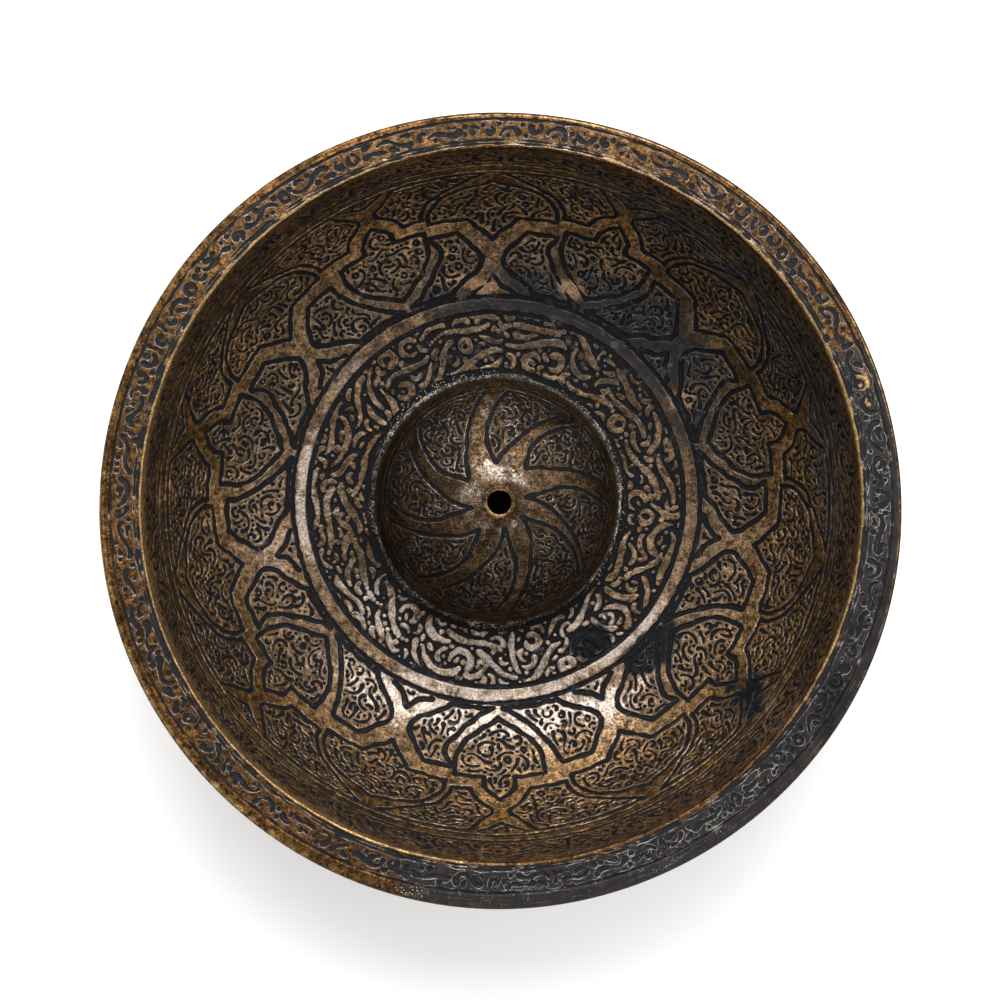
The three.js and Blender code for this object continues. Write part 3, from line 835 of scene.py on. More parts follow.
def add_node(tree, kind, inputs=None, **settings):
    """Put a node into a tree, with its settings, and with a value or a link for each named input."""
    item = tree.nodes.new(kind)
    for title, value in settings.items():
        setattr(item, title, value)
    for title, value in (inputs or {}).items():
        if isinstance(value, bpy.types.NodeSocket):
            tree.links.new(value, item.inputs[title])
        else:
            item.inputs[title].default_value = value
    return item


def maths(tree, operation, first, second=0.0, clamp=False):
    """Join two values by one operation."""
    item = add_node(tree, "ShaderNodeMath", {0: first, 1: second}, operation=operation, use_clamp=clamp)
    return item.outputs[0]


def product(tree, *values):
    """Multiply values."""
    return reduce(partial(maths, tree, "MULTIPLY"), values)


def largest(tree, *values):
    """Keep the largest of some values."""
    return reduce(partial(maths, tree, "MAXIMUM"), values)


def total(tree, *values):
    """Add values."""
    return reduce(partial(maths, tree, "ADD"), values)


def centred(tree, value, swing):
    """Turn noise between 0 and 1 into a push that goes both ways, by half the swing each way."""
    return product(tree, maths(tree, "SUBTRACT", value, 0.5), swing)


def blend(tree, factor, first, second, kind="MIX"):
    """Mix two colours by a factor."""
    inputs = {0: factor, 6: first, 7: second}
    for place in (6, 7):
        if not isinstance(inputs[place], bpy.types.NodeSocket):
            inputs[place] = (*inputs[place][:3], 1)
    item = add_node(tree, "ShaderNodeMix", inputs, data_type="RGBA", blend_type=kind, clamp_factor=True)
    return item.outputs[2]


def ease(tree, value, low, high, start=0.0, end=1.0):
    """Ease a value from start to end as it goes from low to high."""
    limits = {"Value": value, "From Min": low, "From Max": high, "To Min": start, "To Max": end}
    return add_node(tree, "ShaderNodeMapRange", limits, interpolation_type="SMOOTHSTEP").outputs["Result"]


def field(tree, title):
    """Read a field of the mesh by name."""
    return add_node(tree, "ShaderNodeAttribute", attribute_name=title).outputs["Fac"]


def object_place(tree):
    """Place on the object's own coordinates."""
    return add_node(tree, "ShaderNodeTexCoord").outputs["Object"]


def noise(tree, scale, detail, roughness, place=None):
    """Noise with scale as bumps to the metre, on the object's own coordinates if no place is given."""
    place = object_place(tree) if place is None else place
    item = add_node(tree, "ShaderNodeTexNoise", {
        "Vector": place, "Scale": scale, "Detail": detail, "Roughness": roughness})
    return item.outputs["Fac"]


def new_group(title, inputs, outputs):
    """Start a shader node group, with inputs given by name and default, and with named outputs.

    A tuple stands for a colour, and so does the name Color among the outputs."""
    tree = bpy.data.node_groups.new(title, "ShaderNodeTree")
    for name, default in inputs.items():
        kind = "NodeSocketColor" if isinstance(default, tuple) else "NodeSocketFloat"
        tree.interface.new_socket(name, in_out="INPUT", socket_type=kind).default_value = default
    for name in outputs:
        kind = "NodeSocketColor" if name == "Color" else "NodeSocketFloat"
        tree.interface.new_socket(name, in_out="OUTPUT", socket_type=kind)
    return tree, tree.nodes.new("NodeGroupInput").outputs, tree.nodes.new("NodeGroupOutput")


def close_group(tree, outlet, results):
    """Link the results of a group to its outputs."""
    for title, value in results.items():
        tree.links.new(value, outlet.inputs[title])
    return tree


def use_group(tree, title, build, inputs=None):
    """Place a node group in a material with its own values. It is built the first time."""
    group = bpy.data.node_groups.get(title) or build(title)
    return add_node(tree, "ShaderNodeGroup", inputs, node_tree=group).outputs


def ragged(tree, strength, noise_value, low, high, swing=1.4):
    """Turn a soft strength into a ragged mask: noise pushes its edge in and out."""
    return ease(tree, total(tree, strength, centred(tree, noise_value, swing)), low, high)


def darken(tree, colour, shade):
    """Multiply a colour by a grey of the given lightness."""
    grey = add_node(tree, "ShaderNodeCombineColor", {0: shade, 1: shade, 2: shade}).outputs[0]
    return blend(tree, 1.0, colour, grey, "MULTIPLY")


def tone_group(title):
    """Colour of the brass: greyer on the floor and golden up the wall, rubbed bright and left dark in
    blotches, with fine grain, then copper wear, and silver and gilt wear with painted highlights."""
    tree, given, outlet = new_group(title, {
        "Dark": (0.1, 0.06, 0.03, 1), "Bright": (0.36, 0.23, 0.11, 1), "Grey": (0.3, 0.23, 0.16, 1),
        "Copper": (0.4, 0.2, 0.1, 1), "Silver": (0.5, 0.4, 0.35, 1), "Gilt": (0.6, 0.4, 0.17, 1),
        "Rubbing": 0.5}, ("Color", "Wear"))
    level = add_node(tree, "ShaderNodeSeparateXYZ", {"Vector": object_place(tree)}).outputs["Z"]
    bright = blend(tree, ease(tree, level, 0.004, 0.017), given["Grey"], given["Bright"])
    slow = ease(tree, noise(tree, 42, 3, 0.6), 0.34, 0.66)
    blotch = ease(tree, noise(tree, 150, 4, 0.65), 0.36, 0.64)
    fine = ease(tree, noise(tree, 620, 5, 0.75), 0.36, 0.64)
    both = total(tree, product(tree, slow, 0.5), product(tree, blotch, 0.5), given["Rubbing"])
    base = blend(tree, maths(tree, "MULTIPLY", both, fine, clamp=True), given["Dark"], bright)
    grain = ease(tree, noise(tree, 2100, 3, 0.7), 0.3, 0.7)
    wear = noise(tree, 260, 6, 0.75)
    # silver: silvery wear and painted highlights
    silver = ragged(tree, maths(tree, "MINIMUM", field(tree, "silver"), 0.8), wear, 0.3, 0.9, 3.0)
    copper = ragged(tree, field(tree, "copper"), wear, 0.45, 0.75)
    # gilt: gold wear with painted highlights on the lip and the rim's edge
    gilt = ragged(tree, field(tree, "gilt"), noise(tree, 330, 4, 0.6), 0.25, 0.85)
    base = blend(tree, product(tree, silver, 0.75), base, given["Silver"])
    base = blend(tree, product(tree, copper, 0.85), base, given["Copper"])
    base = blend(tree, gilt, base, given["Gilt"])
    base = darken(tree, base, ease(tree, grain, 0, 1, 0.42, 1.35))
    return close_group(tree, outlet, {"Color": base, "Wear": largest(tree, silver, copper, gilt)})


def compound_group(title):
    """Masks of the engraving: the black compound with an unsteady edge, lost here and there, the dark
    halo round it, and the thin pale line beside it, partly a painted glint and partly dust and wear."""
    tree, given, outlet = new_group(title, {"Loss": 0.3, "Reach": 0.42}, ("Mask", "Halo", "Lining"))
    coarse = centred(tree, noise(tree, 420, 3, 0.6), 0.40)
    edge = centred(tree, noise(tree, 1500, 3, 0.65), 0.40)
    gap = total(tree, field(tree, "gap"), total(tree, coarse, edge))
    losing = total(tree, noise(tree, 210, 5, 0.75), given["Loss"])
    glint_line = product(tree, ease(tree, gap, 0.02, 0.10), ease(tree, gap, 0.26, 0.14))
    return close_group(tree, outlet, {
        "Mask": product(tree, ease(tree, gap, 0.07, -0.03), ease(tree, losing, 0.72, 1.0, 1, 0.25)),
        "Halo": ease(tree, gap, given["Reach"], 0.0),
        "Lining": product(tree, glint_line, ease(tree, noise(tree, 380, 5, 0.75), 0.42, 0.62))})


def deposit_group(title):
    """Masks of what lies on the metal and of painted shade: sooty patches with painted shade, the black
    patina of the rim with painted shade, chalk and green specks, and a thin grey film."""
    tree, _, outlet = new_group(title, {}, ("Soot", "Black", "Chalk", "Green", "Film"))
    spots = {"Vector": object_place(tree), "Scale": 1600.0}
    dotted = ease(tree, add_node(tree, "ShaderNodeTexVoronoi", spots).outputs["Distance"], 0.34, 0.12)
    chalk = ragged(tree, field(tree, "chalk"), noise(tree, 600, 4, 0.7), 0.3, 0.8)
    green = ragged(tree, field(tree, "green"), noise(tree, 500, 4, 0.7), 0.5, 0.8)
    handled = ease(tree, total(tree, field(tree, "silver"), field(tree, "black")), 0.1, 0.7)
    return close_group(tree, outlet, {
        "Soot": ragged(tree, field(tree, "soot"), noise(tree, 170, 6, 0.7), 0.35, 0.75),
        "Black": ragged(tree, field(tree, "black"), noise(tree, 240, 6, 0.75), 0.25, 0.95),
        "Chalk": product(tree, chalk, dotted), "Green": product(tree, green, dotted),
        "Film": product(tree, ease(tree, noise(tree, 340, 5, 0.75), 0.56, 0.68), handled)})


def surface_group(title):
    """Height of the surface, from pits, grain and fine scratches that run round the axis, and masks of
    dull patches, of black pits and of the scratches."""
    tree, given, outlet = new_group(title, {"Pits": 0.5}, ("Height", "Dullness", "Specks", "Scratches"))
    parts = add_node(tree, "ShaderNodeSeparateXYZ", {"Vector": object_place(tree)}).outputs
    squares = total(tree, product(tree, parts["X"], parts["X"]), product(tree, parts["Y"], parts["Y"]))
    spun = add_node(tree, "ShaderNodeCombineXYZ", {
        "X": product(tree, maths(tree, "SQRT", squares), 2600.0),
        "Y": product(tree, maths(tree, "ARCTAN2", parts["Y"], parts["X"]), 5.0),
        "Z": product(tree, parts["Z"], 1500.0)}).outputs[0]
    lines = noise(tree, 1.0, 3, 0.6, spun)
    pitted = noise(tree, 1300, 4, 0.65)
    pits = product(tree, ease(tree, pitted, 0.30, 0.52), given["Pits"])
    grain = noise(tree, 2600, 3, 0.65)
    return close_group(tree, outlet, {
        "Height": total(tree, product(tree, lines, 0.25), product(tree, grain, 0.4), pits),
        "Dullness": ease(tree, noise(tree, 700, 5, 0.7), 0.25, 0.8),
        "Specks": ease(tree, pitted, 0.385, 0.325),
        "Scratches": product(
            tree, ease(tree, lines, 0.56, 0.70), ease(tree, noise(tree, 300, 4, 0.7), 0.42, 0.62))})


def new_material(title, shine):
    """Start a material, and return it with its node tree and its shader."""
    material = bpy.data.materials.new(title)
    material.use_nodes = True
    shader = material.node_tree.nodes["Principled BSDF"]
    shader.inputs["Specular IOR Level"].default_value = shine
    return material, material.node_tree, shader


def join_shader(tree, shader, colour, metal, rough, height, strength, distance):
    """Link what varies over the surface to the shader, with the height through a bump."""
    bump = add_node(tree, "ShaderNodeBump", {"Height": height, "Strength": strength, "Distance": distance})
    sources = {"Base Color": colour, "Metallic": metal, "Roughness": rough, "Normal": bump.outputs["Normal"]}
    for name, value in sources.items():
        tree.links.new(value, shader.inputs[name])


def brass_material(title, finish, rubbing=0.1, loss=0.0, pits=0.5, smooth=0.38, dull=0.62, shade=1.0,
                   filling=None, reach=0.42, dusk=0.55, bright=None, gilt=None, grit=0.25, dusting=0.4,
                   film=GREY_FILM):
    """Patinated brass with black compound in its cuts and with wear, deposits, painted highlights and painted
    shade on top.

    rubbing brightens the metal, loss empties the cuts, pits deepens the pits, smooth and dull are the
    least and the most roughness, shade darkens the metal, and filling is the colour in the cuts. reach
    and dusk are the width and the strength of the dark halo, bright and gilt the colours of the rubbed
    metal and of its edges, gilt also that of the painted highlights on them, grit scratches the filling,
    dusting is dust beside the cuts, and film is the colour of what hands leave."""
    known = bpy.data.materials.get(title)
    if known:
        return known
    material, tree, shader = new_material(title, 0.12)
    tone = use_group(tree, "brass_tone", tone_group, {
        "Dark": (*finish.brass_dark, 1), "Bright": (*(bright or finish.brass_bright), 1),
        "Grey": (*finish.brass_grey, 1), "Copper": (*finish.copper, 1), "Silver": (*finish.silver, 1),
        "Gilt": (*(gilt or finish.gilt), 1), "Rubbing": rubbing})
    fill = use_group(tree, "black_compound", compound_group, {"Loss": loss, "Reach": reach})
    lying = use_group(tree, "deposits", deposit_group)
    surface = use_group(tree, "worked_surface", surface_group, {"Pits": pits})
    scratched = product(tree, surface["Scratches"], grit)
    packed = blend(tree, scratched, filling or finish.compound, FILLING_SCRATCH)
    specks = product(tree, surface["Specks"], 0.8 * shade)
    colour = darken(tree, tone["Color"], maths(tree, "SUBTRACT", shade, specks))
    layers = (
        (product(tree, fill["Halo"], dusk), finish.brass_dark),
        # painted glint beside the cuts, in the silver colour
        (product(tree, fill["Lining"], 0.45), finish.silver),
        # black patina of the rim, and painted shade
        (product(tree, lying["Black"], 0.93), BLACK_PATINA_AND_SHADE),
        (product(tree, surface["Scratches"], product(tree, lying["Black"], 0.5)), PATINA_SCRATCH),
        (product(tree, fill["Lining"], lying["Black"], dusting), PALE_DUST),
        (fill["Mask"], packed),
        (product(tree, lying["Film"], 0.55), film),
        # sooty patches and painted shade
        (lying["Soot"], SOOT_AND_SHADE_COLOUR),
        # painted glint beside the cuts where the metal is sooty or shaded
        (product(tree, fill["Lining"], lying["Soot"], 0.5), GLINT_LINE_IN_SOOT_AND_SHADE),
        (lying["Chalk"], CHALK),
        (lying["Green"], VERDIGRIS),
    )
    for mask, layer in layers:
        colour = blend(tree, mask, colour, layer)
    covered = largest(tree, fill["Mask"], lying["Soot"], lying["Chalk"], lying["Green"])
    dusky = product(tree, lying["Black"], 0.6)
    metal = maths(tree, "SUBTRACT", 1.0, largest(tree, covered, dusky), clamp=True)
    rough = ease(tree, surface["Dullness"], 0, 1, smooth, dull)
    rough = maths(tree, "SUBTRACT", rough, product(tree, tone["Wear"], 0.06))
    rough = maths(tree, "ADD", rough, product(tree, covered, 0.16), clamp=True)
    join_shader(tree, shader, colour, metal, rough, surface["Height"], 0.6, 0.16 * MM)
    return material


def dome_curve(foot, top, turn):
    """Radius and height of a quarter ellipse that stands on the boss's upright foot and ends at a top."""
    foot_top = FLOOR_LEVEL + BOSS_FOOT
    return foot * np.cos(turn), foot_top + (top - foot_top) * np.sin(turn)


def boss_section(sizes):
    """Section of the boss from the edge of its hole over the crown and down its dome to the floor.

    A short flat seat, then an ellipse whose top is the crown, then an upright foot."""
    foot = sizes.boss_radius / MM
    hole = sizes.hole_radius / MM
    turn = np.linspace(math.acos((hole + BOSS_SEAT) / foot), 0, ARC_STEPS)
    radius, height = dome_curve(foot, CROWN_LEVEL, turn)
    radius = np.concatenate(([hole], radius, [foot]))
    return section(radius, np.concatenate((height[:1], height, [FLOOR_LEVEL])), oval=False)


def strap_edges(index, radius):
    """Angles of a strap's trailing and leading edge at each radius.

    The trailing edge leaves the crown straight and sweeps back by a square law, and the leading edge
    turns back evenly."""
    start, width = STRAPS[index]
    swept = np.maximum(radius - STRAP_STRAIGHT, 0) / STRAP_SWEEP_RUN
    trailing = math.radians(start + 1.5) - STRAP_SWEEP * swept ** 2
    leading = math.radians(start + width) - STRAP_LEAD * (radius - STRAP_MIDDLE)
    return trailing, leading


def engrave_boss(strip, sizes, random):
    """Cut the outlines of the eight leaves between the straps, fill them, and turn the line below."""
    room = np.zeros(strip.gap.shape, bool)
    for index, tip in enumerate(LEAF_TIPS):
        radius = tip + (LEAF_END - tip) * np.linspace(0, 1, LEAF_STEPS) ** 1.6
        following = (index + 1) % len(STRAPS)
        _, start = strap_edges(index, radius)
        end, _ = strap_edges(following, radius)
        end = end + (TURN if following == 0 else 0)
        open_share = np.clip((radius - tip) / (LEAF_FULL - tip), 0, 1) ** 0.55
        middle, half = (start + end) / 2, (end - start) / 2 * open_share
        run = run_at(strip.path, radius)
        turns = np.concatenate((middle - half, (middle + half)[::-1]))
        add_inside(strip, room, turns, np.concatenate((run, run[::-1])))
        strip.cut_line(middle - half, run, LEAF_LINE_HALF)
        strip.cut_line(middle + half, run, LEAF_LINE_HALF)
        across = np.linspace(turns[LEAF_STEPS - 1], turns[LEAF_STEPS], LEAF_STEPS // 2)
        strip.cut_line(across, np.full(across.size, run[-1]), LEAF_END_HALF)
    strip.ring_line(run_at(strip.path, BOSS_LINE), BOSS_LINE_HALF)
    fill_fine(strip, room, random, scale=0.8, half=sizes.stroke_half / MM, clearance=0.24, tries=0.8)
    strip.unsteady(random, 0.08)


def make_boss(context):
    """The hollow dome: its engraved outside, a flat foot, its inside, and the wall of its hole."""
    sizes, finish = context.scene.bowl_sizes, context.scene.bowl_finish
    random = np.random.default_rng(sizes.seed + 20)
    path = boss_section(sizes)
    strip = Strip(path, 0.0, path.run[-1], BOSS_GRID)
    engrave_boss(strip, sizes, random)
    hole = sizes.hole_radius / MM
    fade = smooth_step((strip.radius - hole) / BOSS_FADE)[:, None]
    rough = soft_noise(random, *BOSS_GRID, 1.4, 1.8) * BOSS_ROUGHNESS
    rise = (rough - sink_of(strip.gap, sizes.groove_depth / MM * BOSS_GROOVE)) * fade
    points = turned_points(path, strip.run, strip.turns, rise)
    inner = sizes.boss_radius / MM - BOSS_WALL
    turn = np.linspace(0, math.acos((hole + BOSS_SEAT) / inner), BOSS_INNER_STEPS)
    radius, height = dome_curve(inner, CROWN_LEVEL - BOSS_WALL, turn)
    radius = np.concatenate(([inner], radius, [hole]))
    height = np.concatenate(([FLOOR_LEVEL], height, [CROWN_LEVEL - BOSS_WALL]))
    solid = np.concatenate((points, ring_points(radius[:, None], strip.turns, height[:, None])))
    gap = np.concatenate((strip.gap, np.full((radius.size, strip.columns), FAR)))
    piece = put_mesh("boss_engraved_dome", solid, points.shape[0], finish_fields(solid, gap))
    dress(piece, "boss_dome", brass_material(
        "boss_patina_brass", finish, rubbing=-0.12, pits=0.8, smooth=0.36, dull=0.6, shade=0.7,
        reach=0.7, dusk=0.85, bright=(0.44, 0.285, 0.15)))


def engrave_floor_band(strip, random):
    """Bold scrolls and stems left standing while the ground between them is cut away.

    The strokes are thrown as if cut, and then the sign of the distance is turned over. The floor is all
    but flat here, so a radius serves as a length along the section. Each row of the tables gives how many
    are thrown, and their length, half width, bend, wave, lean and spread."""
    room = strip.between(BAND_INNER_LINE - 0.5, RING_INNER_LINE - 0.55)
    up = math.pi / 2
    large = (
        (160, 15.0, 0.98, 3.4, 1.0, 0, 0.7), (160, 12.0, 1.0, 3.4, 0.2, 0, math.pi),
        (100, 10.0, 0.94, 5.0, 0.0, 0, math.pi), (160, 11.0, 0.96, 4.2, 1.0, up, 0.6),
        (160, 9.0, 0.9, 1.4, 0.2, up, 0.5),
    )
    small = (
        (3000, 7.5, 0.80, 4.2, 0.6, 0, math.pi), (4000, 5.5, 0.76, 3.2, 0.3, 0, math.pi),
        (6000, 4.0, 0.72, 2.6, 0.0, 0, math.pi), (9000, 2.6, 0.68, 1.6, 0.0, 0, math.pi),
        (9000, 1.3, 0.64, 0.6, 0.0, 0, math.pi), (9000, 0.1, 0.62, 0.0, 0.0, 0, math.pi),
    )
    for count, length, half, bend, wave, lean, spread in large * STROKE_ROUNDS + small:
        made = strokes(random, count, length, half, bend, wave, 0.3, lean, spread, taper=0.45)
        strip.scatter(room, made, 0.30, random)
    strip.unsteady(random, 0.13)
    ground = np.where(room, -strip.gap, FAR).astype(np.float32)
    strip.gap = np.maximum(ground, -0.6)
    strip.ring_line(BAND_INNER_LINE - 1.3, half=0.8)
    strip.ring_line(RING_INNER_LINE, half=0.62)


def bowl_strip(sizes, low, high, grid):
    """A strip of the bowl's upper surface between two radii."""
    path = inner_section(sizes)
    return Strip(path, run_at(path, low), run_at(path, high), grid)


def make_floor_band(context):
    """The engraved band of the floor, from under the boss to the plain ring."""
    sizes, finish = context.scene.bowl_sizes, context.scene.bowl_finish
    random = np.random.default_rng(sizes.seed)
    strip = bowl_strip(sizes, BAND_START, BAND_END, BAND_GRID)
    engrave_floor_band(strip, random)
    strip_pieces(("floor_band",), strip, sizes, brass_material("bowl_patina_brass", finish))


def make_interlace(context):
    """The seven-fold interlace of the wall, in rings one above the other, worn flat under the first two
    patches of copper."""
    sizes, finish = context.scene.bowl_sizes, context.scene.bowl_finish
    random = np.random.default_rng(sizes.seed + 1)
    strip = bowl_strip(sizes, BAND_END, LACE_END, LACE_GRID)
    strip.ring_line(run_at(strip.path, RING_OUTER_LINE), half=0.55)
    strip.ring_line(run_at(strip.path, WALL_LOWER_LINE), half=0.42)
    room = interlace(strip, random)
    fill_fine(strip, room, random, scale=0.95, half=sizes.stroke_half / MM, clearance=0.33, tries=2.4)
    strip.unsteady(random, 0.08)
    worn = patch_field(strip.turns[None], strip.radius[:, None], COPPER_PATCHES[:2])
    strip.gap = strip.gap + np.clip(worn - 0.3, 0, 1).astype(np.float32) * 0.8
    names = ["interlace_ring_%d" % (number + 1) for number in range(LACE_PIECES)]
    strip_pieces(names, strip, sizes, brass_material("bowl_patina_brass", finish))


def make_frieze(context):
    """The band of scrolls on the steep wall under the lip."""
    sizes, finish = context.scene.bowl_sizes, context.scene.bowl_finish
    path = inner_section(sizes)
    random = np.random.default_rng(sizes.seed + 2)
    low, high = run_at(path, LACE_END), path.mouth + ABOVE_MOUTH
    strip = Strip(path, low, high, FRIEZE_GRID)
    lower_line, upper_line = run_at(path, WALL_UPPER_LINE), high - 2.0
    strip.ring_line(lower_line, half=0.45)
    strip.ring_line(upper_line, half=0.45)
    room = (strip.run > lower_line + 0.9) & (strip.run < upper_line - 0.9)
    room = np.broadcast_to(room[:, None], strip.gap.shape)
    fill_fine(strip, room, random, scale=1.5, half=0.55, clearance=0.5, tries=1.4)
    strip.unsteady(random, 0.06)
    strip_pieces(("wall_frieze",), strip, sizes, brass_material("bowl_patina_brass", finish))


def rim_edge_radius(sizes, turns):
    """Outer radius of the rim, trimmed by hand: a circle with a sum of swells, the first of which sets it
    off the axis."""
    radius = np.full(turns.shape, EDGE_RADIUS - CAD_RIM_RADIUS + sizes.rim_radius / MM)
    for times, size, degrees in EDGE_SWELLS:
        radius += size * np.cos(times * turns - math.radians(degrees))
    return radius


def make_rim(context):
    """The rim: its lip and engraved band, and its plain margin, edge and underside."""
    sizes, finish = context.scene.bowl_sizes, context.scene.bowl_finish
    path = inner_section(sizes)
    random = np.random.default_rng(sizes.seed + 3)
    lip_radius = sizes.lip_radius / MM + LIP_ROUND
    beyond_lip = run_at(path, lip_radius)
    low, high = path.mouth + ABOVE_MOUTH, beyond_lip + RIM_BAND_END - lip_radius
    strip = Strip(path, low, high, RIM_GRID)
    for radius in RIM_INNER_LINES:
        strip.ring_line(beyond_lip + radius - lip_radius, half=0.20, waver=0.04)
    strip.ring_line(beyond_lip + RIM_OUTER_LINE - lip_radius, half=0.36, waver=0.05)
    room = strip.between(RIM_INNER_LINES[1] + 0.3, RIM_OUTER_LINE - 0.3)
    fill_fine(strip, room, random, scale=1.45, half=0.52, clearance=0.42, tries=1.2)
    strip.unsteady(random, 0.15)
    # The bright gilt colour here also paints the highlights along the lip and the outer edge
    material = brass_material(
        "rim_patina_brass", finish, rubbing=0.3, loss=0.16, shade=0.42, filling=(0.0135, 0.013, 0.0145),
        reach=0.7, dusk=0.75, bright=(0.68, 0.335, 0.115), gilt=(1.35, 0.86, 0.37), grit=0.6, dusting=0.9,
        film=(0.055, 0.053, 0.055))
    strip_pieces(("rim_band",), strip, sizes, material, (high, beyond_lip + 4, beyond_lip + 1.2, low))
    make_rim_edge(sizes, path, high, material)


def make_rim_edge(sizes, path, high, material):
    """The plain margin of the rim, its rounded edge, its underside and the fillet below it.

    The margin is stretched to the edge's radius at each angle, and the section is closed behind the
    band. The top of the rounded edge is rubbed to bare gold with a painted highlight, and its outer
    side gets painted shade."""
    turns = even_turns(EDGE_COLUMNS)
    start = turned_points(path, np.array([high]), turns, unevenness(turns[None], np.array([[high]])))[0]
    start_radius, start_height = np.hypot(start[:, 0], start[:, 1]), start[:, 2]
    edge = rim_edge_radius(sizes, turns)
    half = RIM_THICKNESS / 2
    edge_height = BOWL_HEIGHT - RIM_DROP
    share = np.linspace(0, 1, MARGIN_ROWS)[:, None]
    margin = edge - start_radius
    bulge = np.minimum(half, EDGE_SHARE * margin)
    groove = MARGIN_GROOVE * np.exp(-((share - GROOVE_PLACE) / GROOVE_HALF) ** 2) * (margin > GROOVE_MARGIN)
    margin_radius = start_radius + (edge - bulge - start_radius) * share
    margin_height = start_height + (edge_height - start_height) * share - groove
    roll = np.linspace(math.pi / 2, -math.pi / 2, EDGE_ROWS + 1)[1:, None]
    edge_rows = edge - bulge + bulge * np.cos(roll)
    edge_heights = edge_height - half + half * np.sin(roll) + 0 * edge
    wall = sizes.lip_radius / MM - LIP_LEAN + WALL_THICKNESS
    bend = np.linspace(math.pi / 2, math.pi, FILLET_STEPS)
    skin = wall - SKIN - 0.15
    below = np.concatenate((
        np.stack((wall + UNDER_RIM_FILLET + UNDER_RIM_FILLET * np.cos(bend),
                  UNDER_RIM - UNDER_RIM_FILLET + UNDER_RIM_FILLET * np.sin(bend)), -1),
        ((wall - 0.03, OUTSIDE_TOP), (skin, OUTSIDE_TOP), (skin, UNDER_RIM - 0.3),
         (wall + 0.4, UNDER_RIM + 0.55), (RIM_BAND_END - 0.1, UNDER_RIM + 0.25))))
    radius = np.concatenate((margin_radius, edge_rows, below[:, :1] + 0 * edge))
    height = np.concatenate((margin_height, edge_heights, below[:, 1:] + 0 * edge))
    points = ring_points(radius, turns, height)
    gap = np.full(radius.shape, FAR)
    # Painted shadow line along the margin's groove: this row gets a gap that the dark halo picks up
    gap[GROOVE_ROW] = GROOVE_SHADOW_GAP
    fields = finish_fields(points, gap)
    top, side = slice(MARGIN_ROWS, MARGIN_ROWS + 2), slice(MARGIN_ROWS + 2, MARGIN_ROWS + 8)
    # Each bell rubs the top rows of the edge to gilt, which is also a painted highlight, takes the black
    # patina off there, and gives the outer side rows painted shade through the sooty field in place of their
    # gilt
    for rubbed in bells(turns, EDGE_GILT_HIGHLIGHT_AND_SHADE):
        left = 1 - np.minimum(rubbed, 1)
        fields["gilt"][top] += np.array([[1.0], [0.5]]) * rubbed
        fields["black"][top] *= left
        fields["gilt"][side] *= left
        fields["soot"][side] += 1.8 * rubbed
    piece = put_mesh("rim_edge", points, points.shape[0] - 4, fields)
    dress(piece, "bowl_body", material)


def make_outside(context):
    """The plain outside of the bowl and the floor under the boss, closed behind the engraved rings.

    The outer side is the inner quarter ellipse set out by a thickness that goes from the floor's to the
    wall's."""
    sizes, finish = context.scene.bowl_sizes, context.scene.bowl_finish
    reach = wall_reach(sizes)
    stop = math.acos(1 - (OUTSIDE_TOP - FLOOR_LEVEL) / WALL_RISE)

    def set_out(turn, thickness):
        """Radius and height of the quarter ellipse, set out along its normal by a thickness."""
        run, climb = reach * np.cos(turn), WALL_RISE * np.sin(turn)
        speed = np.hypot(run, climb)
        radius = FLOOR_RADIUS + reach * np.sin(turn) + thickness * climb / speed
        return radius, FLOOR_LEVEL + WALL_RISE * (1 - np.cos(turn)) - thickness * run / speed

    behind = SKIN + BEHIND_SKIN
    inside = set_out(np.linspace(0, stop, BEHIND_STEPS), behind)
    turn = np.linspace(stop, 0, OUTSIDE_STEPS)
    outside = set_out(turn, FLOOR_THICKNESS + (WALL_THICKNESS - FLOOR_THICKNESS) * np.sin(turn) ** 2)
    start = BAND_START - 0.1
    radius = np.concatenate(([4, 15, start, start], inside[0], outside[0], [30, 15, 4]))
    height = np.concatenate(([FLOOR_LEVEL] * 3, [FLOOR_LEVEL - behind], inside[1], outside[1], [0, 0, 0]))
    turns = even_turns(OUTSIDE_COLUMNS)
    points = ring_points(radius[:, None], turns, np.maximum(height, 0)[:, None])
    fields = finish_fields(points, np.full(points.shape[:2], FAR), plain=True)
    piece = put_mesh("outside_wall", points, points.shape[0], fields, closed=False)
    dress(piece, "bowl_body", brass_material(
        "outside_patina_brass", finish, rubbing=0, shade=0.65))


def make_solder(context):
    """The lumpy bead of solder: a hollow quarter round in the corner, swollen by random lumps."""
    sizes = context.scene.bowl_sizes
    random = np.random.default_rng(sizes.seed + 30)
    inner = sizes.boss_radius / MM + 0.05
    rows, columns = SOLDER_GRID
    turns = even_turns(columns)
    bend = np.linspace(0, 1, rows)[:, None]
    lumps = sum(
        soft_noise(random, rows, columns, across, around) * size for across, around, size in SOLDER_LUMPS)
    width = SOLDER_WIDTH + SOLDER_SWING * soft_noise(random, 1, columns, 1, 18)[0]
    fade = np.sin(math.pi * bend) ** 0.5
    back = FLOOR_LEVEL - SOLDER_SINK
    radius = inner + width * bend ** 1.3 + np.clip(lumps, -0.3, 0.45) * fade
    height = FLOOR_LEVEL + (SEAM_TOP - FLOOR_LEVEL) * (1 - bend) ** 1.5 + np.clip(lumps, -0.25, 0.45) * fade
    radius = np.concatenate((radius, np.full((1, columns), inner)))
    height = np.concatenate((np.clip(height, back, SEAM_TOP), np.full((1, columns), back)))
    raised = np.concatenate((lumps * fade, np.zeros((1, columns))))
    points = ring_points(radius, turns, height)
    piece = put_mesh("solder_bead", points, rows, finish_fields(points, raised))
    dress(piece, "boss_solder_seam", solder_material())


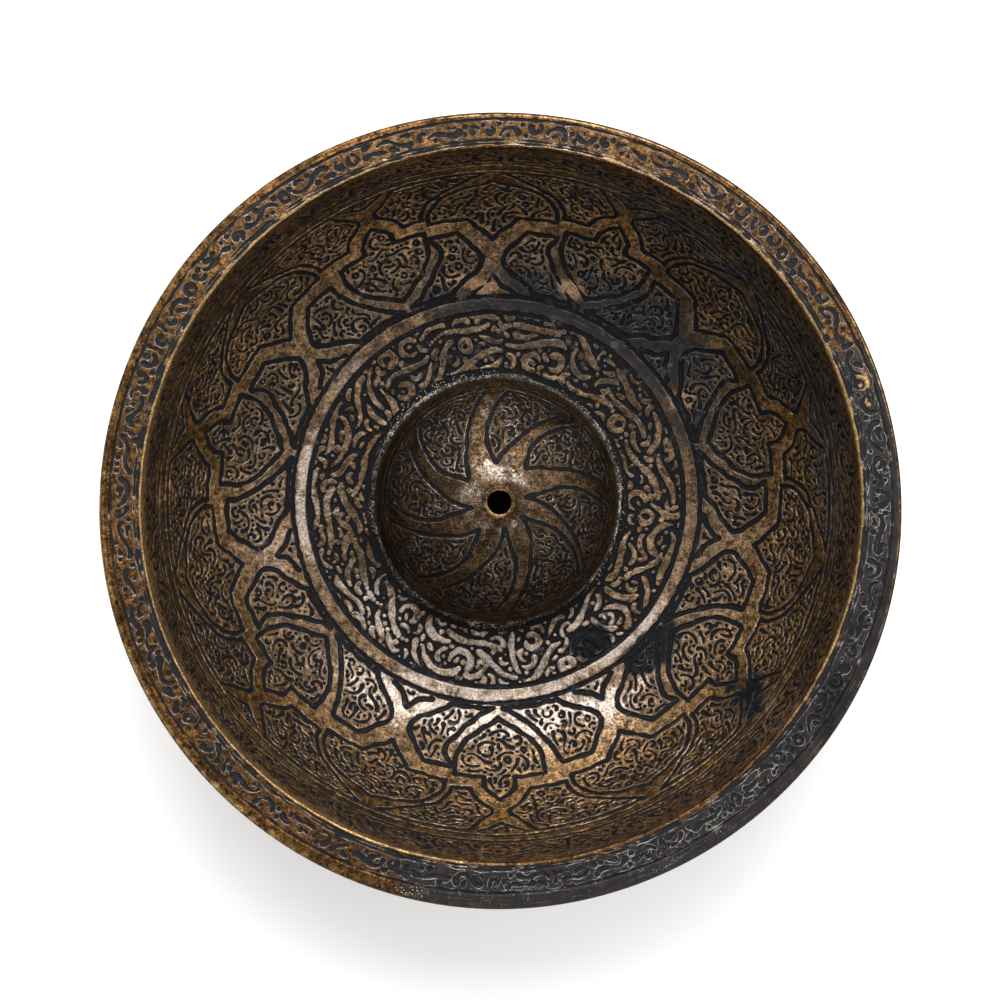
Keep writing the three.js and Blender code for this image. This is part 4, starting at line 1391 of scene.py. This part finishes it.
def solder_material():
    """Granular solder: dark brown hollows, and whitish grains on the tops of its lumps."""
    material, tree, shader = new_material("granular_solder", 0.2)
    slow = ease(tree, noise(tree, 150, 3, 0.6), 0.35, 0.65)
    lumps = ease(tree, noise(tree, 1100, 4, 0.75), 0.42, 0.62)
    raised = total(tree, field(tree, "gap"), centred(tree, noise(tree, 1700, 3, 0.7), 1.2))
    chalk = ragged(tree, field(tree, "chalk"), noise(tree, 500, 5, 0.7), 0.3, 0.85)
    grains = product(tree, largest(tree, chalk, product(tree, slow, 0.6)), ease(tree, raised, 0.14, 0.24))
    colour = blend(tree, grains, blend(tree, lumps, SOLDER_HOLLOW, SOLDER_TOP), SOLDER_GRAIN)
    join_shader(tree, shader, colour, ease(tree, lumps, 0, 1, 0.1, 0.5), ease(tree, slow, 0, 1, 0.5, 0.8),
                noise(tree, 1500, 4, 0.7), 0.8, 0.25 * MM)
    return material


def make_eyelet(context):
    """The eyelet: a tube through the crown, rolled over in a worn half round above it."""
    sizes, finish = context.scene.bowl_sizes, context.scene.bowl_finish
    random = np.random.default_rng(sizes.seed + 40)
    hole = sizes.hole_radius / MM
    bore, tube, flange = hole - EYELET_BORE, hole - EYELET_TUBE, hole + EYELET_FLANGE
    roll = np.linspace(math.pi, 0, EYELET_STEPS)
    low, under = CROWN_LEVEL - EYELET_HANG, CROWN_LEVEL - BOSS_WALL
    middle, half = (bore + flange) / 2, (flange - bore) / 2
    radius = np.concatenate((middle + half * np.cos(roll), [tube + 0.05, tube, flange, flange, bore]))
    height = np.concatenate((low + (EYELET_TOP - low) * np.sin(roll) ** 0.7, [
        low, under, under, EYELET_BOTTOM, EYELET_BOTTOM]))
    wobble = EYELET_WOBBLE * soft_noise(random, radius.size, EYELET_COLUMNS, 3, 10)
    wobble[roll.size + 1:] = 0
    reach = radius[:, None] + wobble * 0.6
    level = np.minimum(height[:, None] + np.minimum(wobble, 0), EYELET_TOP)
    points = ring_points(reach, even_turns(EYELET_COLUMNS), level)
    fields = finish_fields(points, np.full(points.shape[:2], FAR))
    fields["gilt"] = 0.6 * np.exp(-((reach - bore - 0.3) / 0.25) ** 2)
    piece = put_mesh("eyelet_ring", points, points.shape[0] + 1, fields)
    dress(piece, "hole_eyelet", brass_material(
        "eyelet_rubbed_brass", finish, rubbing=0.1, pits=0.6, smooth=0.36, dull=0.6, shade=0.7))


def make_stage(context):
    """A pale floor, a soft lamp beyond the bowl with three fainter ones round it, even light, and the
    camera."""
    stage = context.scene.bowl_stage
    side = 4.0
    mesh = bpy.data.meshes.new("pale_floor")
    corners = [(-side, -side, 0), (side, -side, 0), (side, side, 0), (-side, side, 0)]
    mesh.from_pydata(corners, [], [(0, 1, 2, 3)])
    floor = bpy.data.objects.new("pale_floor", mesh)
    context.collection.objects.link(floor)
    material, _, shader = new_material("pale_floor", 0.1)
    shader.inputs["Base Color"].default_value = (*stage.floor_colour, 1)
    shader.inputs["Roughness"].default_value = 0.9
    shader.inputs["Emission Color"].default_value = (1, 1, 1, 1)
    shader.inputs["Emission Strength"].default_value = stage.floor_glow
    mesh.materials.append(material)
    world = bpy.data.worlds.new("even_light")
    world.use_nodes = True
    world.node_tree.nodes["Background"].inputs[0].default_value = (1, 1, 1, 1)
    world.node_tree.nodes["Background"].inputs[1].default_value = stage.sky
    context.scene.world = world
    for title, power, size, azimuth, elevation, distance in LAMPS:
        add_lamp(title, getattr(stage, power), size, direction(azimuth, elevation) * distance)
    add_camera(context)
    context.scene.view_settings.view_transform = "Standard"


def direction(azimuth, elevation):
    """Unit vector at an azimuth from the right and an elevation above the floor, in degrees."""
    around, above = math.radians(azimuth), math.radians(elevation)
    return Vector((math.cos(around) * math.cos(above), math.sin(around) * math.cos(above), math.sin(above)))


def aim(item, target):
    """Turn a lamp or the camera from where it is towards a point, with the far side of the bowl up."""
    item.rotation_euler = (target - item.location).to_track_quat("-Z", "Y").to_euler()


def add_lamp(title, power, size, place):
    """A square soft lamp that faces the bowl."""
    light = bpy.data.lights.new(title, "AREA")
    light.energy = power
    light.size = size
    lamp = bpy.data.objects.new(title, light)
    lamp.location = place
    aim(lamp, Vector((0, 0, 0.02)))
    bpy.context.collection.objects.link(lamp)


def add_camera(context):
    """The camera of the photograph: above the bowl, slightly to the left and to the far side of it."""
    target = Vector((*CAMERA_TARGET, BOWL_HEIGHT * MM))
    left, far = math.radians(CAMERA_LEFT), math.radians(CAMERA_FAR)
    back = Vector((-math.tan(left), math.tan(far), 1)).normalized()
    data = bpy.data.cameras.new("photo_camera")
    data.lens = CAMERA_LENS
    data.sensor_width = CAMERA_SENSOR
    data.clip_end = 20
    camera = bpy.data.objects.new("photo_camera", data)
    camera.location = target + back * CAMERA_DISTANCE
    right = Vector((0, 1, 0)).cross(back).normalized()
    up = back.cross(right)
    camera.rotation_euler = Matrix((right, up, back)).transposed().to_euler()
    context.collection.objects.link(camera)
    context.scene.camera = camera


class BOWL_OT_floor_band(bpy.types.Operator):
    """Make the engraved band of the floor"""

    bl_idname = "bowl.floor_band"
    bl_label = "Floor band"
    bl_options = {"REGISTER", "UNDO"}

    def execute(self, context):
        make_floor_band(context)
        return {"FINISHED"}


class BOWL_OT_interlace(bpy.types.Operator):
    """Make the seven-fold interlace of the wall"""

    bl_idname = "bowl.interlace"
    bl_label = "Interlace"
    bl_options = {"REGISTER", "UNDO"}

    def execute(self, context):
        make_interlace(context)
        return {"FINISHED"}


class BOWL_OT_frieze(bpy.types.Operator):
    """Make the band of scrolls under the lip"""

    bl_idname = "bowl.frieze"
    bl_label = "Wall frieze"
    bl_options = {"REGISTER", "UNDO"}

    def execute(self, context):
        make_frieze(context)
        return {"FINISHED"}


class BOWL_OT_rim(bpy.types.Operator):
    """Make the rim"""

    bl_idname = "bowl.rim"
    bl_label = "Rim"
    bl_options = {"REGISTER", "UNDO"}

    def execute(self, context):
        make_rim(context)
        return {"FINISHED"}


class BOWL_OT_outside(bpy.types.Operator):
    """Make the plain outside"""

    bl_idname = "bowl.outside"
    bl_label = "Outside"
    bl_options = {"REGISTER", "UNDO"}

    def execute(self, context):
        make_outside(context)
        return {"FINISHED"}


class BOWL_OT_boss(bpy.types.Operator):
    """Make the boss"""

    bl_idname = "bowl.boss"
    bl_label = "Boss"
    bl_options = {"REGISTER", "UNDO"}

    def execute(self, context):
        make_boss(context)
        return {"FINISHED"}


class BOWL_OT_solder(bpy.types.Operator):
    """Make the bead of solder"""

    bl_idname = "bowl.solder"
    bl_label = "Solder bead"
    bl_options = {"REGISTER", "UNDO"}

    def execute(self, context):
        make_solder(context)
        return {"FINISHED"}


class BOWL_OT_eyelet(bpy.types.Operator):
    """Make the eyelet"""

    bl_idname = "bowl.eyelet"
    bl_label = "Eyelet"
    bl_options = {"REGISTER", "UNDO"}

    def execute(self, context):
        make_eyelet(context)
        return {"FINISHED"}


class BOWL_OT_stage(bpy.types.Operator):
    """Make the floor, the light and the camera"""

    bl_idname = "bowl.stage"
    bl_label = "Stage"
    bl_options = {"REGISTER", "UNDO"}

    def execute(self, context):
        make_stage(context)
        return {"FINISHED"}


OPERATORS = (
    BOWL_OT_floor_band, BOWL_OT_interlace, BOWL_OT_frieze, BOWL_OT_rim, BOWL_OT_outside, BOWL_OT_boss,
    BOWL_OT_solder, BOWL_OT_eyelet, BOWL_OT_stage)


class BOWL_PT_panel(bpy.types.Panel):
    """The bowl's sizes, colours and pieces in the sidebar."""

    bl_idname = "BOWL_PT_panel"
    bl_label = "Magic Bowl"
    bl_space_type = "VIEW_3D"
    bl_region_type = "UI"
    bl_category = "Magic Bowl"

    def draw(self, context):
        for group in (context.scene.bowl_sizes, context.scene.bowl_finish, context.scene.bowl_stage):
            box = self.layout.box()
            for title in group.__annotations__:
                box.prop(group, title)
        for operator in OPERATORS:
            self.layout.operator(operator.bl_idname)


CLASSES = (BowlSizes, BowlFinish, BowlStage, *OPERATORS, BOWL_PT_panel)


def register():
    for item in CLASSES:
        bpy.utils.register_class(item)
    bpy.types.Scene.bowl_sizes = PointerProperty(type=BowlSizes)
    bpy.types.Scene.bowl_finish = PointerProperty(type=BowlFinish)
    bpy.types.Scene.bowl_stage = PointerProperty(type=BowlStage)


def unregister():
    for title in ("bowl_sizes", "bowl_finish", "bowl_stage"):
        delattr(bpy.types.Scene, title)
    for item in reversed(CLASSES):
        bpy.utils.unregister_class(item)


def main():
    """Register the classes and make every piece."""
    register()
    for operator in OPERATORS:
        getattr(bpy.ops.bowl, operator.bl_idname.split(".")[1])()


if __name__ == "__main__":
    main()
